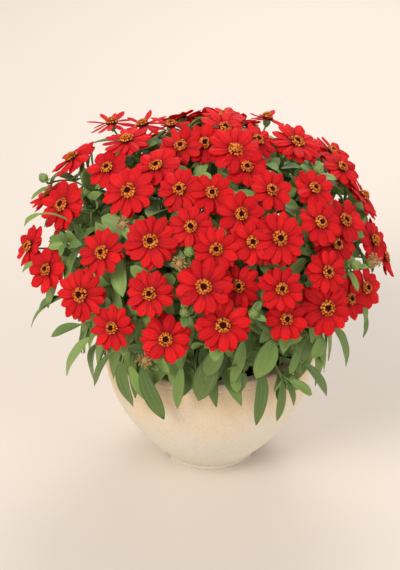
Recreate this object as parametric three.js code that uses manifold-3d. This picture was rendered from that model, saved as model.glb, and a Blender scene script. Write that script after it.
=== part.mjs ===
// Potted zinnia: a cream cast-stone bowl of soil, three branching plants and a dome of red single blooms.
// Millimetres, +Z up, the front towards -Y, the origin at the middle of the foot.
import * as THREE from 'three';
import { mergeVertices } from 'three/addons/utils/BufferGeometryUtils.js';
import Module from 'manifold-3d';

const wasm = await Module();
wasm.setup();

// Gap between pieces that touch
const seatGap = 0.3;

// Bowl
const potHeight = 178;
const rimRadius = 132;
const rimBand = 13;
const rimStep = 3;
const rimWidth = 12;
const wall = 9;
const footRadius = 61;
const footWidth = 11;
const footHeight = 6;
const floorTop = 17;
const drainRadius = 10;
const notchWidth = 9;
const notchHeight = 4.5;
const notchTurn = 3;
const notchCount = 3;
const potSides = 24;

// Soil
const soilLevel = 154;
const soilMound = 3;
const stemDepth = 24;

// Dome of blooms: its middle, its reach to the bloom centres and its rise above its widest ring
const domeShift = -4;
const domeMid = 280;
const domeReach = 193;
const domeRise = 146;
const bloomGap = 42;
const backTries = 260;
const backShift = { x: 6, y: 4 };
const coupleSpread = 0.113;
const coupleOverlap = 9;
const crownDrop = 0.06;
const manyPetalWidth = 55;
const smallBloom = 46;
const largeBloom = 58;

// Lowest and highest facing of the blooms, degrees above level
const lowFace = 28;
const highFace = 66;
const turnToView = 0.5;

// Plants
const plants = 3;
const stemFoot = 50;
const mainStem = 4.5;
const stalkStem = 1.8;
const sepalRadius = 4.8;
const crownHeight = 212;
const sectorEdge = 1.5;
const leafThick = 0.8;
const footstalk = 1.2;

// Dense middle of the foliage, as a share of the dome, with its underside
const coreShare = 0.74;
const rootShare = 0.56;
const coreLow = 182;
const coreColumns = 5;
const coreLeaves = 34;

// The view in which the blooms were read by eye, in a frame of 400 x 570 pixels
const view = {
  eye: new THREE.Vector3(-11.4, -1300, 1025),
  pitch: 31.5,
  focal: 1299,
  middle: { x: 200, y: 285 },
};

// Blooms seen from the front: pixels of the middle, width in pixels, mm set back, degrees turned up or sideways
const seen = [
  { x: 112, y: 124, wide: 47, up: 24, view: 0 },
  { x: 143, y: 126, wide: 46, up: 24, view: 0, back: 12 },
  { x: 171, y: 126, wide: 44, up: 24, view: 0, back: 12 },
  { x: 224, y: 117, wide: 42, back: 12 },
  { x: 224, y: 129, wide: 47, up: -8, back: -10 },
  { x: 267, y: 119, wide: 40, up: 24, view: 0 },
  { x: 296, y: 143, wide: 55 },
  { x: 73, y: 159, wide: 52, up: 8, view: 0.15 },
  { x: 127, y: 141, wide: 50, up: 16, view: 0.1, back: -8 },
  { x: 108, y: 169, wide: 45, back: 6 },
  { x: 157, y: 167, wide: 48, view: 0.2 },
  { x: 181, y: 147, wide: 44 },
  { x: 205, y: 144, wide: 44, back: 2 },
  { x: 235, y: 151, wide: 54, back: -6 },
  { x: 257, y: 141, wide: 42, back: 12 },
  { x: 341, y: 168, wide: 42 },
  { x: 129, y: 192, wide: 54 },
  { x: 180, y: 190, wide: 46 },
  { x: 212, y: 194, wide: 44, back: 1 },
  { x: 271, y: 191, wide: 43 },
  { x: 314, y: 189, wide: 41 },
  { x: 362, y: 197, wide: 48, view: 0.2 },
  { x: 63, y: 206, wide: 52 },
  { x: 49, y: 196, wide: 42, up: 20, view: 0.1, back: 22 },
  { x: 30, y: 247, wide: 44, back: 8 },
  { x: 48, y: 270, wide: 46 },
  { x: 103, y: 253, wide: 49 },
  { x: 151, y: 242, wide: 54 },
  { x: 191, y: 227, wide: 45 },
  { x: 241, y: 215, wide: 47 },
  { x: 320, y: 223, wide: 46, back: -5 },
  { x: 344, y: 221, wide: 48, back: 9 },
  { x: 373, y: 241, wide: 42 },
  { x: 216, y: 250, wide: 40 },
  { x: 252, y: 243, wide: 42, back: 1 },
  { x: 279, y: 239, wide: 54, back: -4 },
  { x: 336, y: 245, wide: 40, back: 16 },
  { x: 327, y: 272, wide: 41 },
  { x: 204, y: 287, wide: 56 },
  { x: 150, y: 294, wide: 48 },
  { x: 238, y: 286, wide: 42, back: 17 },
  { x: 281, y: 289, wide: 46 },
  { x: 365, y: 288, wide: 44 },
  { x: 81, y: 295, wide: 53 },
  { x: 113, y: 328, wide: 46 },
  { x: 166, y: 339, wide: 49 },
  { x: 223, y: 325, wide: 54 },
  { x: 286, y: 319, wide: 42, back: 6 },
  { x: 326, y: 308, wide: 55, back: -2 },
  { x: 331, y: 152, wide: 44, back: 14 },
  { x: 246, y: 168, wide: 44, back: 7 },
  { x: 349, y: 299, wide: 42, back: 18 },
];

// Buds, spent heads and leafy tips seen among the blooms: pixels of the place and mm set back
const heads = [
  { x: 46, y: 181, kind: 'bud', back: 4 },
  { x: 189, y: 253, kind: 'bud', back: 6 },
  { x: 185, y: 313, kind: 'bud', back: 8 },
  { x: 253, y: 314, kind: 'bud', back: 2 },
  { x: 353, y: 267, kind: 'bud', back: 4 },
  { x: 368, y: 265, kind: 'spent', back: 8 },
  { x: 317, y: 172, kind: 'bud', back: 8 },
  { x: 126, y: 228, kind: 'spent', back: 18 },
  { x: 179, y: 266, kind: 'spent', back: 14 },
  { x: 147, y: 361, kind: 'spent', back: 12 },
  { x: 64, y: 243, kind: 'tip', back: 8 },
  { x: 286, y: 380, kind: 'tip', back: 4 },
];

// Leaves of the lower fringe as seen: pixels of the root and the tip, width in mm, mm from the axis at both ends
const fringe = [
  { x: 78, y: 330, tipX: 59, tipY: 366, wide: 14, root: 186, tip: 190 },
  { x: 76, y: 322, tipX: 48, tipY: 333, wide: 11, root: 186, tip: 205 },
  { x: 70, y: 306, tipX: 44, tipY: 320, wide: 10, root: 186, tip: 204 },
  { x: 66, y: 300, tipX: 32, tipY: 331, wide: 6, root: 186, tip: 212 },
  { x: 84, y: 332, tipX: 82, tipY: 354, wide: 8, root: 180, tip: 178 },
  { x: 95, y: 345, tipX: 94, tipY: 381, wide: 13, root: 172, tip: 168 },
  { x: 112, y: 352, tipX: 94, tipY: 386, wide: 10, root: 172, tip: 176 },
  { x: 122, y: 362, tipX: 133, tipY: 407, wide: 18, root: 165, tip: 152 },
  { x: 142, y: 368, tipX: 164, tipY: 419, wide: 19, root: 162, tip: 150 },
  { x: 130, y: 366, tipX: 151, tipY: 402, wide: 14, root: 160, tip: 158 },
  { x: 182, y: 368, tipX: 177, tipY: 409, wide: 12, root: 160, tip: 152 },
  { x: 214, y: 352, tipX: 198, tipY: 401, wide: 24, root: 164, tip: 150 },
  { x: 196, y: 370, tipX: 200, tipY: 399, wide: 9, root: 158, tip: 150 },
  { x: 222, y: 346, tipX: 205, tipY: 376, wide: 18, root: 166, tip: 164 },
  { x: 243, y: 340, tipX: 232, tipY: 384, wide: 13, root: 166, tip: 164 },
  { x: 244, y: 372, tipX: 237, tipY: 393, wide: 11, root: 158, tip: 152 },
  { x: 272, y: 340, tipX: 256, tipY: 379, wide: 23, root: 166, tip: 170 },
  { x: 261, y: 372, tipX: 256, tipY: 425, wide: 15, root: 158, tip: 154 },
  { x: 281, y: 379, tipX: 277, tipY: 421, wide: 11, root: 160, tip: 156 },
  { x: 289, y: 380, tipX: 312, tipY: 395, wide: 11, root: 162, tip: 172 },
  { x: 287, y: 383, tipX: 294, tipY: 406, wide: 8, root: 161, tip: 160 },
  { x: 296, y: 350, tipX: 290, tipY: 374, wide: 10, root: 166, tip: 172 },
  { x: 303, y: 363, tipX: 327, tipY: 396, wide: 12, root: 166, tip: 174 },
  { x: 308, y: 340, tipX: 299, tipY: 378, wide: 16, root: 160, tip: 160 },
  { x: 334, y: 328, tipX: 346, tipY: 366, wide: 15, root: 176, tip: 184 },
  { x: 322, y: 338, tipX: 312, tipY: 358, wide: 16, root: 172, tip: 176 },
  { x: 352, y: 308, tipX: 356, tipY: 338, wide: 14, root: 186, tip: 192 },
  { x: 366, y: 314, tipX: 363, tipY: 338, wide: 6, root: 190, tip: 194 },
  { x: 40, y: 262, tipX: 22, tipY: 272, wide: 9, root: 196, tip: 214 },
  { x: 40, y: 214, tipX: 24, tipY: 226, wide: 8, root: 196, tip: 212 },
];

// Leaves of the fringe on the far side, by a rule
const backFringe = 17;
const backFringeFrom = 100;
const backFringeTo = 260;

const degrees = Math.PI / 180;
const up = new THREE.Vector3(0, 0, 1);

// Repeatable variation between 0 and 1 for each item and trait
function vary(item, trait) {
  const wave = Math.sin(item * 127.1 + trait * 311.7) * 43758.5453;
  return wave - Math.floor(wave);
}

function between(low, high, share) {
  return low + (high - low) * share;
}

function atAngle(radius, angle, z) {
  return new THREE.Vector3(radius * Math.cos(angle), radius * Math.sin(angle), z);
}

// A closed shape from corner points and triangles
function closedShape(points, faces) {
  const geometry = new THREE.BufferGeometry();
  geometry.setFromPoints(points);
  geometry.setIndex(faces.flat());
  return geometry;
}

function toSolid(geometry) {
  const bare = geometry.clone();
  bare.deleteAttribute('normal');
  bare.deleteAttribute('uv');
  const merged = mergeVertices(bare, 1e-4);
  const corners = merged.index.array;
  const triVerts = [];
  for (let i = 0; i < corners.length; i += 3) {
    const [a, b, c] = corners.slice(i, i + 3);
    if (a !== b && b !== c && c !== a) triVerts.push(a, b, c);
  }
  const vertProperties = new Float32Array(merged.attributes.position.array);
  return new wasm.Manifold(new wasm.Mesh({ numProp: 3, vertProperties, triVerts: new Uint32Array(triVerts) }));
}

function toGeometry(solid) {
  const mesh = solid.getMesh();
  const geometry = new THREE.BufferGeometry();
  geometry.setAttribute('position', new THREE.BufferAttribute(mesh.vertProperties, 3));
  geometry.setIndex(Array.from(mesh.triVerts));
  return geometry;
}

function joined(solids) {
  return solids.reduce((whole, next) => whole.add(next));
}

// A turned shape, from its profile of radius and height
function turned(profile, sides) {
  const geometry = new THREE.LatheGeometry(profile.map(([r, z]) => new THREE.Vector2(r, z)), sides);
  geometry.rotateX(Math.PI / 2);
  return toSolid(geometry);
}

// A stem along a line of points, with its radius at each point; a bend of the same radius keeps its section
function stemShape(points, radii, sides, lastWay) {
  const corners = [];
  const faces = [];
  const last = points.length - 1;
  let side = new THREE.Vector3(0.31, 0.87, 0.11);
  points.forEach((point, i) => {
    let along = points[Math.min(i + 1, last)].clone().sub(points[Math.max(i - 1, 0)]).normalize();
    if (lastWay && i === last) along = lastWay;
    side = side.clone().addScaledVector(along, -side.dot(along)).normalize();
    const across = new THREE.Vector3().crossVectors(along, side);
    for (let s = 0; s < sides; s += 1) {
      const angle = (s / sides) * 2 * Math.PI;
      if (i > 0 && i < last && radii[i] === radii[i - 1]) {
        corners.push(corners[corners.length - sides].clone().add(point).sub(points[i - 1]));
      } else {
        const corner = point.clone().addScaledVector(side, radii[i] * Math.cos(angle));
        corners.push(corner.addScaledVector(across, radii[i] * Math.sin(angle)));
      }
    }
  });
  for (let i = 0; i < last; i += 1) {
    for (let s = 0; s < sides; s += 1) {
      const a = i * sides + s;
      const b = i * sides + ((s + 1) % sides);
      faces.push([a, b, b + sides], [a, b + sides, a + sides]);
    }
  }
  for (let s = 2; s < sides; s += 1) {
    faces.push([0, s, s - 1]);
    faces.push([last * sides, last * sides + s - 1, last * sides + s]);
  }
  return closedShape(corners, faces);
}

// A lance-shaped leaf, folded along its rib, on a bent line from root to tip, with a footstalk if it has one
function leafShape(leaf) {
  const { root, bend, tip, wide, face, small, start } = leaf;
  const line = new THREE.QuadraticBezierCurve3(root, bend, tip);
  const waists = small ? [[0.5, 1]] : [[0.34, 0.94], [0.7, 0.78]];
  const fold = 0.16 * wide;
  const leaving = line.getTangent(0);
  if (start) leaving.add(root.clone().sub(start).normalize()).normalize();
  const tops = [];
  const unders = [];
  const place = (t, out, rise, move) => {
    const along = t > 0 ? line.getTangent(t) : leaving;
    const across = new THREE.Vector3().crossVectors(along, face).normalize();
    const normal = new THREE.Vector3().crossVectors(across, along);
    const point = line.getPoint(t).addScaledVector(across, out).addScaledVector(normal, rise);
    if (move) point.add(move);
    tops.push(point);
    unders.push(point.clone().addScaledVector(normal, -leafThick));
  };
  const faces = [];
  const upper = [];
  const leftEdge = [0];
  const rightEdge = [1];
  if (start) {
    const move = start.clone().sub(root);
    place(0, -footstalk, 0, move);
    place(0, footstalk, 0, move);
    upper.push([0, 1, 3], [0, 3, 2]);
    leftEdge.push(2);
    rightEdge.push(3);
  }
  place(0, -footstalk, 0);
  place(0, footstalk, 0);
  const neck = tops.length - 2;
  waists.forEach(([t, share]) => {
    place(t, (-share * wide) / 2, fold * share);
    place(t, 0, 0);
    place(t, (share * wide) / 2, fold * share);
  });
  place(1, 0, 0);
  const point = tops.length - 1;
  upper.push([neck, neck + 3, neck + 2], [neck, neck + 1, neck + 3], [neck + 1, neck + 4, neck + 3]);
  for (let left = neck + 2; left < point; left += 3) {
    const [rib, right] = [left + 1, left + 2];
    leftEdge.push(left);
    rightEdge.push(right);
    if (left + 3 === point) {
      upper.push([left, rib, point], [rib, right, point]);
    } else {
      upper.push([left, rib, rib + 3], [left, rib + 3, left + 3]);
      upper.push([rib, right, right + 3], [rib, right + 3, rib + 3]);
    }
  }
  leftEdge.push(point);
  rightEdge.push(point);
  const under = tops.length;
  upper.forEach(([a, b, c]) => faces.push([a, b, c], [under + a, under + c, under + b]));
  const wallBetween = (a, b) => faces.push([a + under, b + under, b], [a + under, b, a]);
  for (let i = 1; i < rightEdge.length; i += 1) {
    wallBetween(rightEdge[i - 1], rightEdge[i]);
    wallBetween(leftEdge[i], leftEdge[i - 1]);
  }
  wallBetween(0, 1);
  return closedShape([...tops, ...unders], faces);
}

// Height of a bloom's flat underside
function underside(bloom) {
  return 0.3 * bloom.cup * bloom.radius + 0.4;
}

// A single bloom facing up: broad petals in two heights round a raised ring with a sunken middle
function bloomShape(bloom) {
  const { id, petals, radius, cup } = bloom;
  const points = [];
  const faces = [];
  const step = (2 * Math.PI) / petals;
  const thick = 0.9;
  const disc = 0.25 * radius;
  const notch = 0.56 * radius;
  const perPetal = 8;
  const low = underside(bloom);
  for (let i = 0; i < petals; i += 1) {
    const middle = bloom.spin + i * step;
    const length = radius * (i === 0 ? 1 : between(0.9, 1, vary(id, 20 + i)));
    const layer = i === 0 || i % 2 === 1 ? 0 : 1.1;
    const tipRise = cup * radius + layer + (i === 0 ? 0 : between(-1, 1, vary(id, 40 + i)));
    points.push(atAngle(length, middle - 0.37 * step, thick + tipRise));
    points.push(atAngle(length, middle + 0.37 * step, thick + tipRise));
    points.push(atAngle(notch, middle + 0.5 * step, thick + low));
    points.push(atAngle(disc, middle + 0.5 * step, thick));
    points.push(atAngle(0.86 * disc, middle + 0.5 * step, thick + 3.6));
    points.push(atAngle(length, middle - 0.37 * step, tipRise));
    points.push(atAngle(length, middle + 0.37 * step, tipRise));
    points.push(atAngle(notch, middle + 0.5 * step, low));
  }
  const crater = points.push(new THREE.Vector3(0, 0, thick + 1.6)) - 1;
  for (let i = 0; i < petals; i += 1) {
    const [left, right, gap, base, crest, lowLeft, lowRight, lowGap] =
      Array.from({ length: perPetal }, (_, k) => i * perPetal + k);
    const before = ((i + petals - 1) % petals) * perPetal;
    const [gapBefore, baseBefore, crestBefore, lowBefore] = [before + 2, before + 3, before + 4, before + 7];
    faces.push([baseBefore, gapBefore, gap], [baseBefore, gap, base]);
    faces.push([gapBefore, left, right], [gapBefore, right, gap]);
    if (i > 1) faces.push([perPetal - 1, lowGap, lowBefore]);
    faces.push([lowBefore, lowRight, lowLeft], [lowBefore, lowGap, lowRight]);
    faces.push([lowBefore, lowLeft, left], [lowBefore, left, gapBefore]);
    faces.push([lowLeft, lowRight, right], [lowLeft, right, left]);
    faces.push([lowRight, lowGap, gap], [lowRight, gap, right]);
    faces.push([baseBefore, base, crest], [baseBefore, crest, crestBefore]);
    faces.push([crestBefore, crest, crater]);
  }
  const geometry = closedShape(points, faces);
  const turn = new THREE.Quaternion().setFromUnitVectors(up, bloom.normal);
  geometry.applyQuaternion(turn);
  geometry.translate(bloom.place.x, bloom.place.y, bloom.place.z);
  return geometry;
}

// Line of sight through a pixel
const ahead = new THREE.Vector3(0, Math.cos(view.pitch * degrees), -Math.sin(view.pitch * degrees));
const overhead = new THREE.Vector3(0, Math.sin(view.pitch * degrees), Math.cos(view.pitch * degrees));
function sight(x, y) {
  const line = ahead.clone();
  line.x += (x - view.middle.x) / view.focal;
  return line.addScaledVector(overhead, (view.middle.y - y) / view.focal);
}

// Where the line of sight meets a rounded body, or comes nearest to it
function meet(line, middle, radii) {
  const from = view.eye.clone().sub(middle).divide(radii);
  const way = line.clone().divide(radii);
  const a = way.dot(way);
  const b = from.dot(way);
  const c = from.dot(from) - 1;
  const far = (-b - Math.sqrt(Math.max(b * b - a * c, 0))) / a;
  return view.eye.clone().addScaledVector(line, far);
}

const domeMiddle = new THREE.Vector3(domeShift, 0, domeMid);
const domeRadii = new THREE.Vector3(domeReach, domeReach, domeRise);
function onDome(x, y, back) {
  const line = sight(x, y);
  return meet(line, domeMiddle, domeRadii).addScaledVector(line.normalize(), back);
}

// A place at a given distance from the axis, seen at a pixel
function onSkirt(x, y, radius) {
  const tall = 1e9;
  return meet(sight(x, y), new THREE.Vector3(0, 0, 0), new THREE.Vector3(radius, radius, tall));
}

// Facing of a bloom: outward, higher up the dome more upward, and turned part of the way to the view
function facing(place, middle, turnUp, turnSide, toView) {
  const height = THREE.MathUtils.clamp((place.z - domeMid) / domeRise, 0, 1);
  const rise = (between(lowFace, highFace, height ** 1.6) + turnUp) * degrees;
  const outward = Math.atan2(place.y - middle.y, place.x - middle.x) + turnSide * degrees;
  return atAngle(Math.cos(rise), outward, Math.sin(rise)).addScaledVector(ahead, -toView).normalize();
}

const blooms = [];
function addBloom(place, across, normal, spin, shape) {
  const radius = THREE.MathUtils.clamp(across, smallBloom, largeBloom) / 2;
  const petals = 2 * radius > manyPetalWidth ? 8 : 7;
  blooms.push({ id: blooms.length, place, normal, spin, radius, petals, cup: between(-0.08, 0.1, vary(shape, 3)) });
}

// The blooms seen from the front
seen.forEach(({ x, y, wide, back = 0, up: turnUp = 0, view: toView = turnToView }, i) => {
  const place = onDome(x, y, back);
  const depth = place.clone().sub(view.eye).dot(ahead);
  const tilt = turnUp + between(-5, 5, vary(i, 1));
  const normal = facing(place, domeMiddle, tilt, between(-9, 9, vary(i, 2)), toView);
  addBloom(place, (wide * depth) / view.focal, normal, 2 * Math.PI * vary(i, 4), i);
});

// The blooms of the far side stand where room is left, in couples whose nearest petals cross
const goldenTurn = 137.508 * degrees;
const backMiddle = new THREE.Vector3(backShift.x, backShift.y, domeMid);
function spiralPoint(i, count, lowest, highest) {
  const height = between(lowest, highest, (i + 0.5) / count);
  return atAngle(Math.sqrt(1 - height * height), (i + 0.5) * goldenTurn, height);
}
function roomFor(place) {
  const hidden = place.y > -20 || Math.abs(place.x) > 160;
  return hidden && blooms.every((other) => other.place.distanceTo(place) > bloomGap);
}
for (let i = 0; i < backTries; i += 1) {
  const outward = spiralPoint(i, backTries, -0.12, 0.97);
  const along = new THREE.Vector3(-outward.y, outward.x, 0).normalize();
  const reach = between(0.95, 1.02, vary(i, 15)) - crownDrop * Math.max(outward.z, 0);
  const places = [-coupleSpread, coupleSpread].map((share) => {
    const place = outward.clone().addScaledVector(along, share).normalize();
    return place.multiplyScalar(reach).multiply(domeRadii).add(backMiddle);
  });
  if (places.every(roomFor)) {
    const tilt = between(-8, 10, vary(i, 17));
    places.forEach((place, k) => {
      const partner = places[1 - k];
      const normal = facing(place, backMiddle, tilt, 0, 0);
      const way = partner.clone().sub(place);
      way.applyQuaternion(new THREE.Quaternion().setFromUnitVectors(normal, up));
      addBloom(place, partner.distanceTo(place) + coupleOverlap, normal, Math.atan2(way.y, way.x), i + 500);
    });
  }
}

// Room test: a point keeps clear of every bloom except its own
function clearOfBlooms(point, own, margin) {
  return blooms.every((bloom) => {
    if (bloom === own) return true;
    const offset = point.clone().sub(bloom.place);
    const along = offset.dot(bloom.normal);
    const out = Math.sqrt(Math.max(offset.lengthSq() - along * along, 0));
    const slope = bloom.cup * Math.min(out, bloom.radius);
    const low = Math.min(slope, 0) - 1.4 - margin;
    const high = Math.max(slope, 0) + 3.2 + margin + (out < 9 ? 2 : 0);
    return out > bloom.radius + margin || along < low || along > high;
  });
}

// Each plant fills a third of the round
const sectorAngle = (2 * Math.PI) / plants;
function plantAngle(plant) {
  return plant * sectorAngle - Math.PI / 2;
}
function plantOf(point) {
  const turn = Math.atan2(point.y, point.x) + (Math.PI + sectorAngle) / 2 + 2 * Math.PI;
  return Math.floor((turn % (2 * Math.PI)) / sectorAngle);
}
function insideSector(point, plant, margin) {
  const low = plantAngle(plant) - sectorAngle / 2;
  const high = plantAngle(plant) + sectorAngle / 2;
  const fromLow = point.y * Math.cos(low) - point.x * Math.sin(low);
  const fromHigh = point.x * Math.sin(high) - point.y * Math.cos(high);
  return fromLow > margin && fromHigh > margin;
}

// Root of a stem, well inside the dense middle of its plant
function rootFor(point, plant) {
  const root = new THREE.Vector3(point.x, point.y, point.z - domeMid).multiplyScalar(rootShare);
  root.z += domeMid;
  return root.add(atAngle(4, plantAngle(plant), 0));
}

// Stalks under the blooms and heads, bent to meet them from behind
const stalks = [];
const stalkRuns = [7, 12, 18, 26, 34];
function addStalk(foot, normal, own, kind) {
  const plant = plantOf(foot);
  const root = rootFor(foot, plant);
  let bend = null;
  for (let i = 0; i < 25 && !bend; i += 1) {
    const swing = atAngle(8 * Math.floor(i / stalkRuns.length), i * 1.3, 0);
    const option = foot.clone().addScaledVector(normal, -stalkRuns[i % stalkRuns.length]).add(swing);
    const lower = new THREE.LineCurve3(root, option).getPoints(16);
    const upper = new THREE.LineCurve3(option, foot).getPoints(6).slice(0, 5);
    const free = [...lower, ...upper].every((point) => clearOfBlooms(point, own, 2.2));
    if (free && insideSector(option, plant, 2.5)) bend = option;
  }
  stalks.push({ plant, root, bend: bend || foot.clone().addScaledVector(normal, -stalkRuns[0]), foot, own, kind });
}
blooms.forEach((bloom) => {
  const foot = bloom.place.clone().addScaledVector(bloom.normal, underside(bloom) - seatGap);
  addStalk(foot, bloom.normal, bloom);
});
heads.forEach((head, i) => {
  const place = onDome(head.x, head.y, head.back);
  addStalk(place, facing(place, domeMiddle, 12, between(-14, 14, vary(i, 7)), 0.2), null, head.kind);
});

// Stalks of the neighbouring plants are kept clear of, up to their wider tops
function clearOfStalks(point, plant) {
  const near = new THREE.Vector3();
  return stalks.every((stalk) => {
    if (stalk.plant === plant) return true;
    new THREE.Line3(stalk.root, stalk.bend).closestPointToPoint(point, true, near);
    const lower = near.distanceTo(point);
    new THREE.Line3(stalk.bend, stalk.foot).closestPointToPoint(point, true, near);
    return lower > 3.5 && near.distanceTo(point) > 7;
  });
}

// Room test for a leaf: its rib and both edges
function leafFits(leaf, plant) {
  const line = new THREE.QuadraticBezierCurve3(leaf.root, leaf.bend, leaf.tip);
  for (let i = 2; i <= 14; i += 1) {
    const t = i / 14;
    const along = line.getTangent(t);
    const across = new THREE.Vector3().crossVectors(along, leaf.face).normalize();
    const normal = new THREE.Vector3().crossVectors(across, along);
    const half = 0.5 * leaf.wide * Math.sin(Math.PI * (0.15 + 0.85 * t));
    const free = [-half, 0, half].every((out) => {
      const spot = line.getPoint(t).addScaledVector(across, out).addScaledVector(normal, 0.3 * Math.abs(out));
      const overPot = spot.z > potHeight + 4 || Math.hypot(spot.x, spot.y) > rimRadius + 3;
      return overPot && insideSector(spot, plant, sectorEdge) && clearOfBlooms(spot, null, 1.1)
        && clearOfStalks(spot, plant);
    });
    if (!free) return false;
  }
  return true;
}

// Leaves between the blooms, on a spiral round the dense middle
const leaves = [];
for (let i = 0; i < coreLeaves; i += 1) {
  const outward = spiralPoint(i, coreLeaves, -0.35, 0.95);
  const root = outward.clone().multiply(domeRadii).multiplyScalar(coreShare * 0.9);
  root.z += domeMid;
  const plant = plantOf(root);
  const swing = atAngle(0.75, 2 * Math.PI * vary(i, 21), between(-0.5, 0.6, vary(i, 22)));
  const out = outward.clone().add(swing).normalize();
  const length = between(52, 74, vary(i, 23));
  const bend = root.clone().addScaledVector(out, 0.55 * length).addScaledVector(up, 6);
  const tip = root.clone().addScaledVector(out, length).addScaledVector(up, -6);
  const face = up.clone().addScaledVector(outward, 0.6).normalize();
  const leaf = { plant, root, bend, tip, wide: between(0.26, 0.34, vary(i, 24)) * length, face, small: true };
  if (leafFits(leaf, plant)) leaves.push(leaf);
}

// Leaves of the lower fringe, each on a footstalk from the dense middle; a blocked one swings sideways
function addFringeLeaf(root, tip, wide) {
  for (let i = 0; i < 11; i += 1) {
    const swing = (i % 2 === 0 ? 1 : -1) * Math.ceil(i / 2) * 2.2 * degrees;
    const from = root.clone().applyAxisAngle(up, swing);
    const to = tip.clone().applyAxisAngle(up, swing);
    const plant = plantOf(from);
    const outward = new THREE.Vector3(from.x, from.y, 0).normalize();
    const length = from.distanceTo(to);
    const bend = from.clone().lerp(to, 0.42);
    bend.addScaledVector(outward, 0.16 * length).addScaledVector(up, 0.12 * length);
    const face = outward.clone().addScaledVector(up, 0.9).normalize();
    const leaf = { plant, root: from, bend, tip: to, wide, face, small: wide < 11.5 };
    if (leafFits(leaf, plant)) {
      leaf.start = from.clone().multiplyScalar(0.6).setZ(between(from.z, 236, 0.6)).add(atAngle(2, plantAngle(plant), 0));
      leaves.push(leaf);
      return;
    }
  }
}
fringe.forEach((leaf) => {
  addFringeLeaf(onSkirt(leaf.x, leaf.y, leaf.root), onSkirt(leaf.tipX, leaf.tipY, leaf.tip), leaf.wide);
});
for (let i = 0; i < backFringe; i += 1) {
  const turn = between(backFringeFrom, backFringeTo, (i + 0.5) / backFringe) - 90;
  const angle = (turn + between(-3, 3, vary(i, 8))) * degrees;
  const root = atAngle(between(162, 178, vary(i, 9)), angle, between(222, 246, vary(i, 10)));
  const tipAngle = angle + between(-7, 7, vary(i, 12)) * degrees;
  const drop = between(45, 88, vary(i, 11));
  const tip = atAngle(between(152, 196, vary(i, 13)), tipAngle, root.z - drop);
  addFringeLeaf(root, tip, between(12, 21, vary(i, 14)));
}

// Heads that are no bloom, on top of their stalk: how far along and how thick
const headRings = {
  bud: [[-1, 1.6], [4, 5.2], [11, 2.8]],
  spent: [[-1, 1.6], [5, 5.6], [12, 6.2]],
  tip: [[2, 1.2]],
};

// Dense middle of one plant: a third of a rounded bush, uneven, with its underside over the rim
function coreShape(plant) {
  const rows = [
    [0.67 * domeReach, coreLow],
    [0.76 * domeReach, coreLow + 30],
    [coreShare * domeReach, domeMid],
    [coreShare * domeReach * 0.82, domeMid + coreShare * domeRise * 0.57],
    [coreShare * domeReach * 0.42, domeMid + coreShare * domeRise * 0.9],
  ];
  const shift = atAngle(2, plantAngle(plant), 0);
  const points = [new THREE.Vector3(0, 0, coreLow).add(shift)];
  rows.forEach(([radius, z], row) => {
    for (let column = 0; column < coreColumns; column += 1) {
      const angle = plantAngle(plant) + sectorAngle * (column / (coreColumns - 1) - 0.5);
      const uneven = between(-6, 6, vary(plant * 40 + row * coreColumns + column, 30));
      points.push(atAngle(radius + uneven, angle, z + 0.5 * uneven).add(shift));
    }
  });
  const top = points.push(new THREE.Vector3(0, 0, domeMid + coreShare * domeRise).add(shift)) - 1;
  const at = (row, column) => 1 + row * coreColumns + column;
  const lastRow = rows.length - 1;
  const lastColumn = coreColumns - 1;
  const faces = [];
  for (let column = 0; column < lastColumn; column += 1) {
    faces.push([0, at(0, column + 1), at(0, column)]);
    faces.push([at(lastRow, column), at(lastRow, column + 1), top]);
    for (let row = 0; row < lastRow; row += 1) {
      const [a, b] = [at(row, column), at(row, column + 1)];
      const [c, d] = [at(row + 1, column + 1), at(row + 1, column)];
      faces.push([a, b, c], [a, c, d]);
    }
  }
  for (let row = 0; row < lastRow; row += 1) {
    faces.push([0, at(row, 0), at(row + 1, 0)]);
    faces.push([0, at(row + 1, lastColumn), at(row, lastColumn)]);
  }
  faces.push([0, at(lastRow, 0), top], [0, top, at(lastRow, lastColumn)]);
  return closedShape(points, faces);
}

// Green solid of one plant: main stem, dense middle, stalks with flared tops, twigs, leaves and heads
function plantSolid(plant) {
  const own = (item) => item.plant === plant;
  const foot = atAngle(stemFoot, plantAngle(plant), soilLevel - stemDepth + seatGap);
  const crown = atAngle(stemFoot, plantAngle(plant), crownHeight);
  const shapes = [coreShape(plant), stemShape([foot, crown], [mainStem, mainStem], 6)];
  stalks.filter(own).forEach(({ root, bend, foot: end, own: bloom, kind }) => {
    if (bloom) {
      shapes.push(stemShape([root, bend, end], [stalkStem, stalkStem, sepalRadius], 3, bloom.normal));
    } else {
      const way = end.clone().sub(bend).normalize();
      const rings = headRings[kind].map(([along]) => end.clone().addScaledVector(way, along));
      const radii = headRings[kind].map(([, radius]) => radius);
      shapes.push(stemShape([root, bend, ...rings], [stalkStem, stalkStem, ...radii], 5));
    }
  });
  leaves.filter(own).forEach((leaf) => shapes.push(leafShape(leaf)));
  return joined(shapes.map(toSolid));
}

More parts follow.
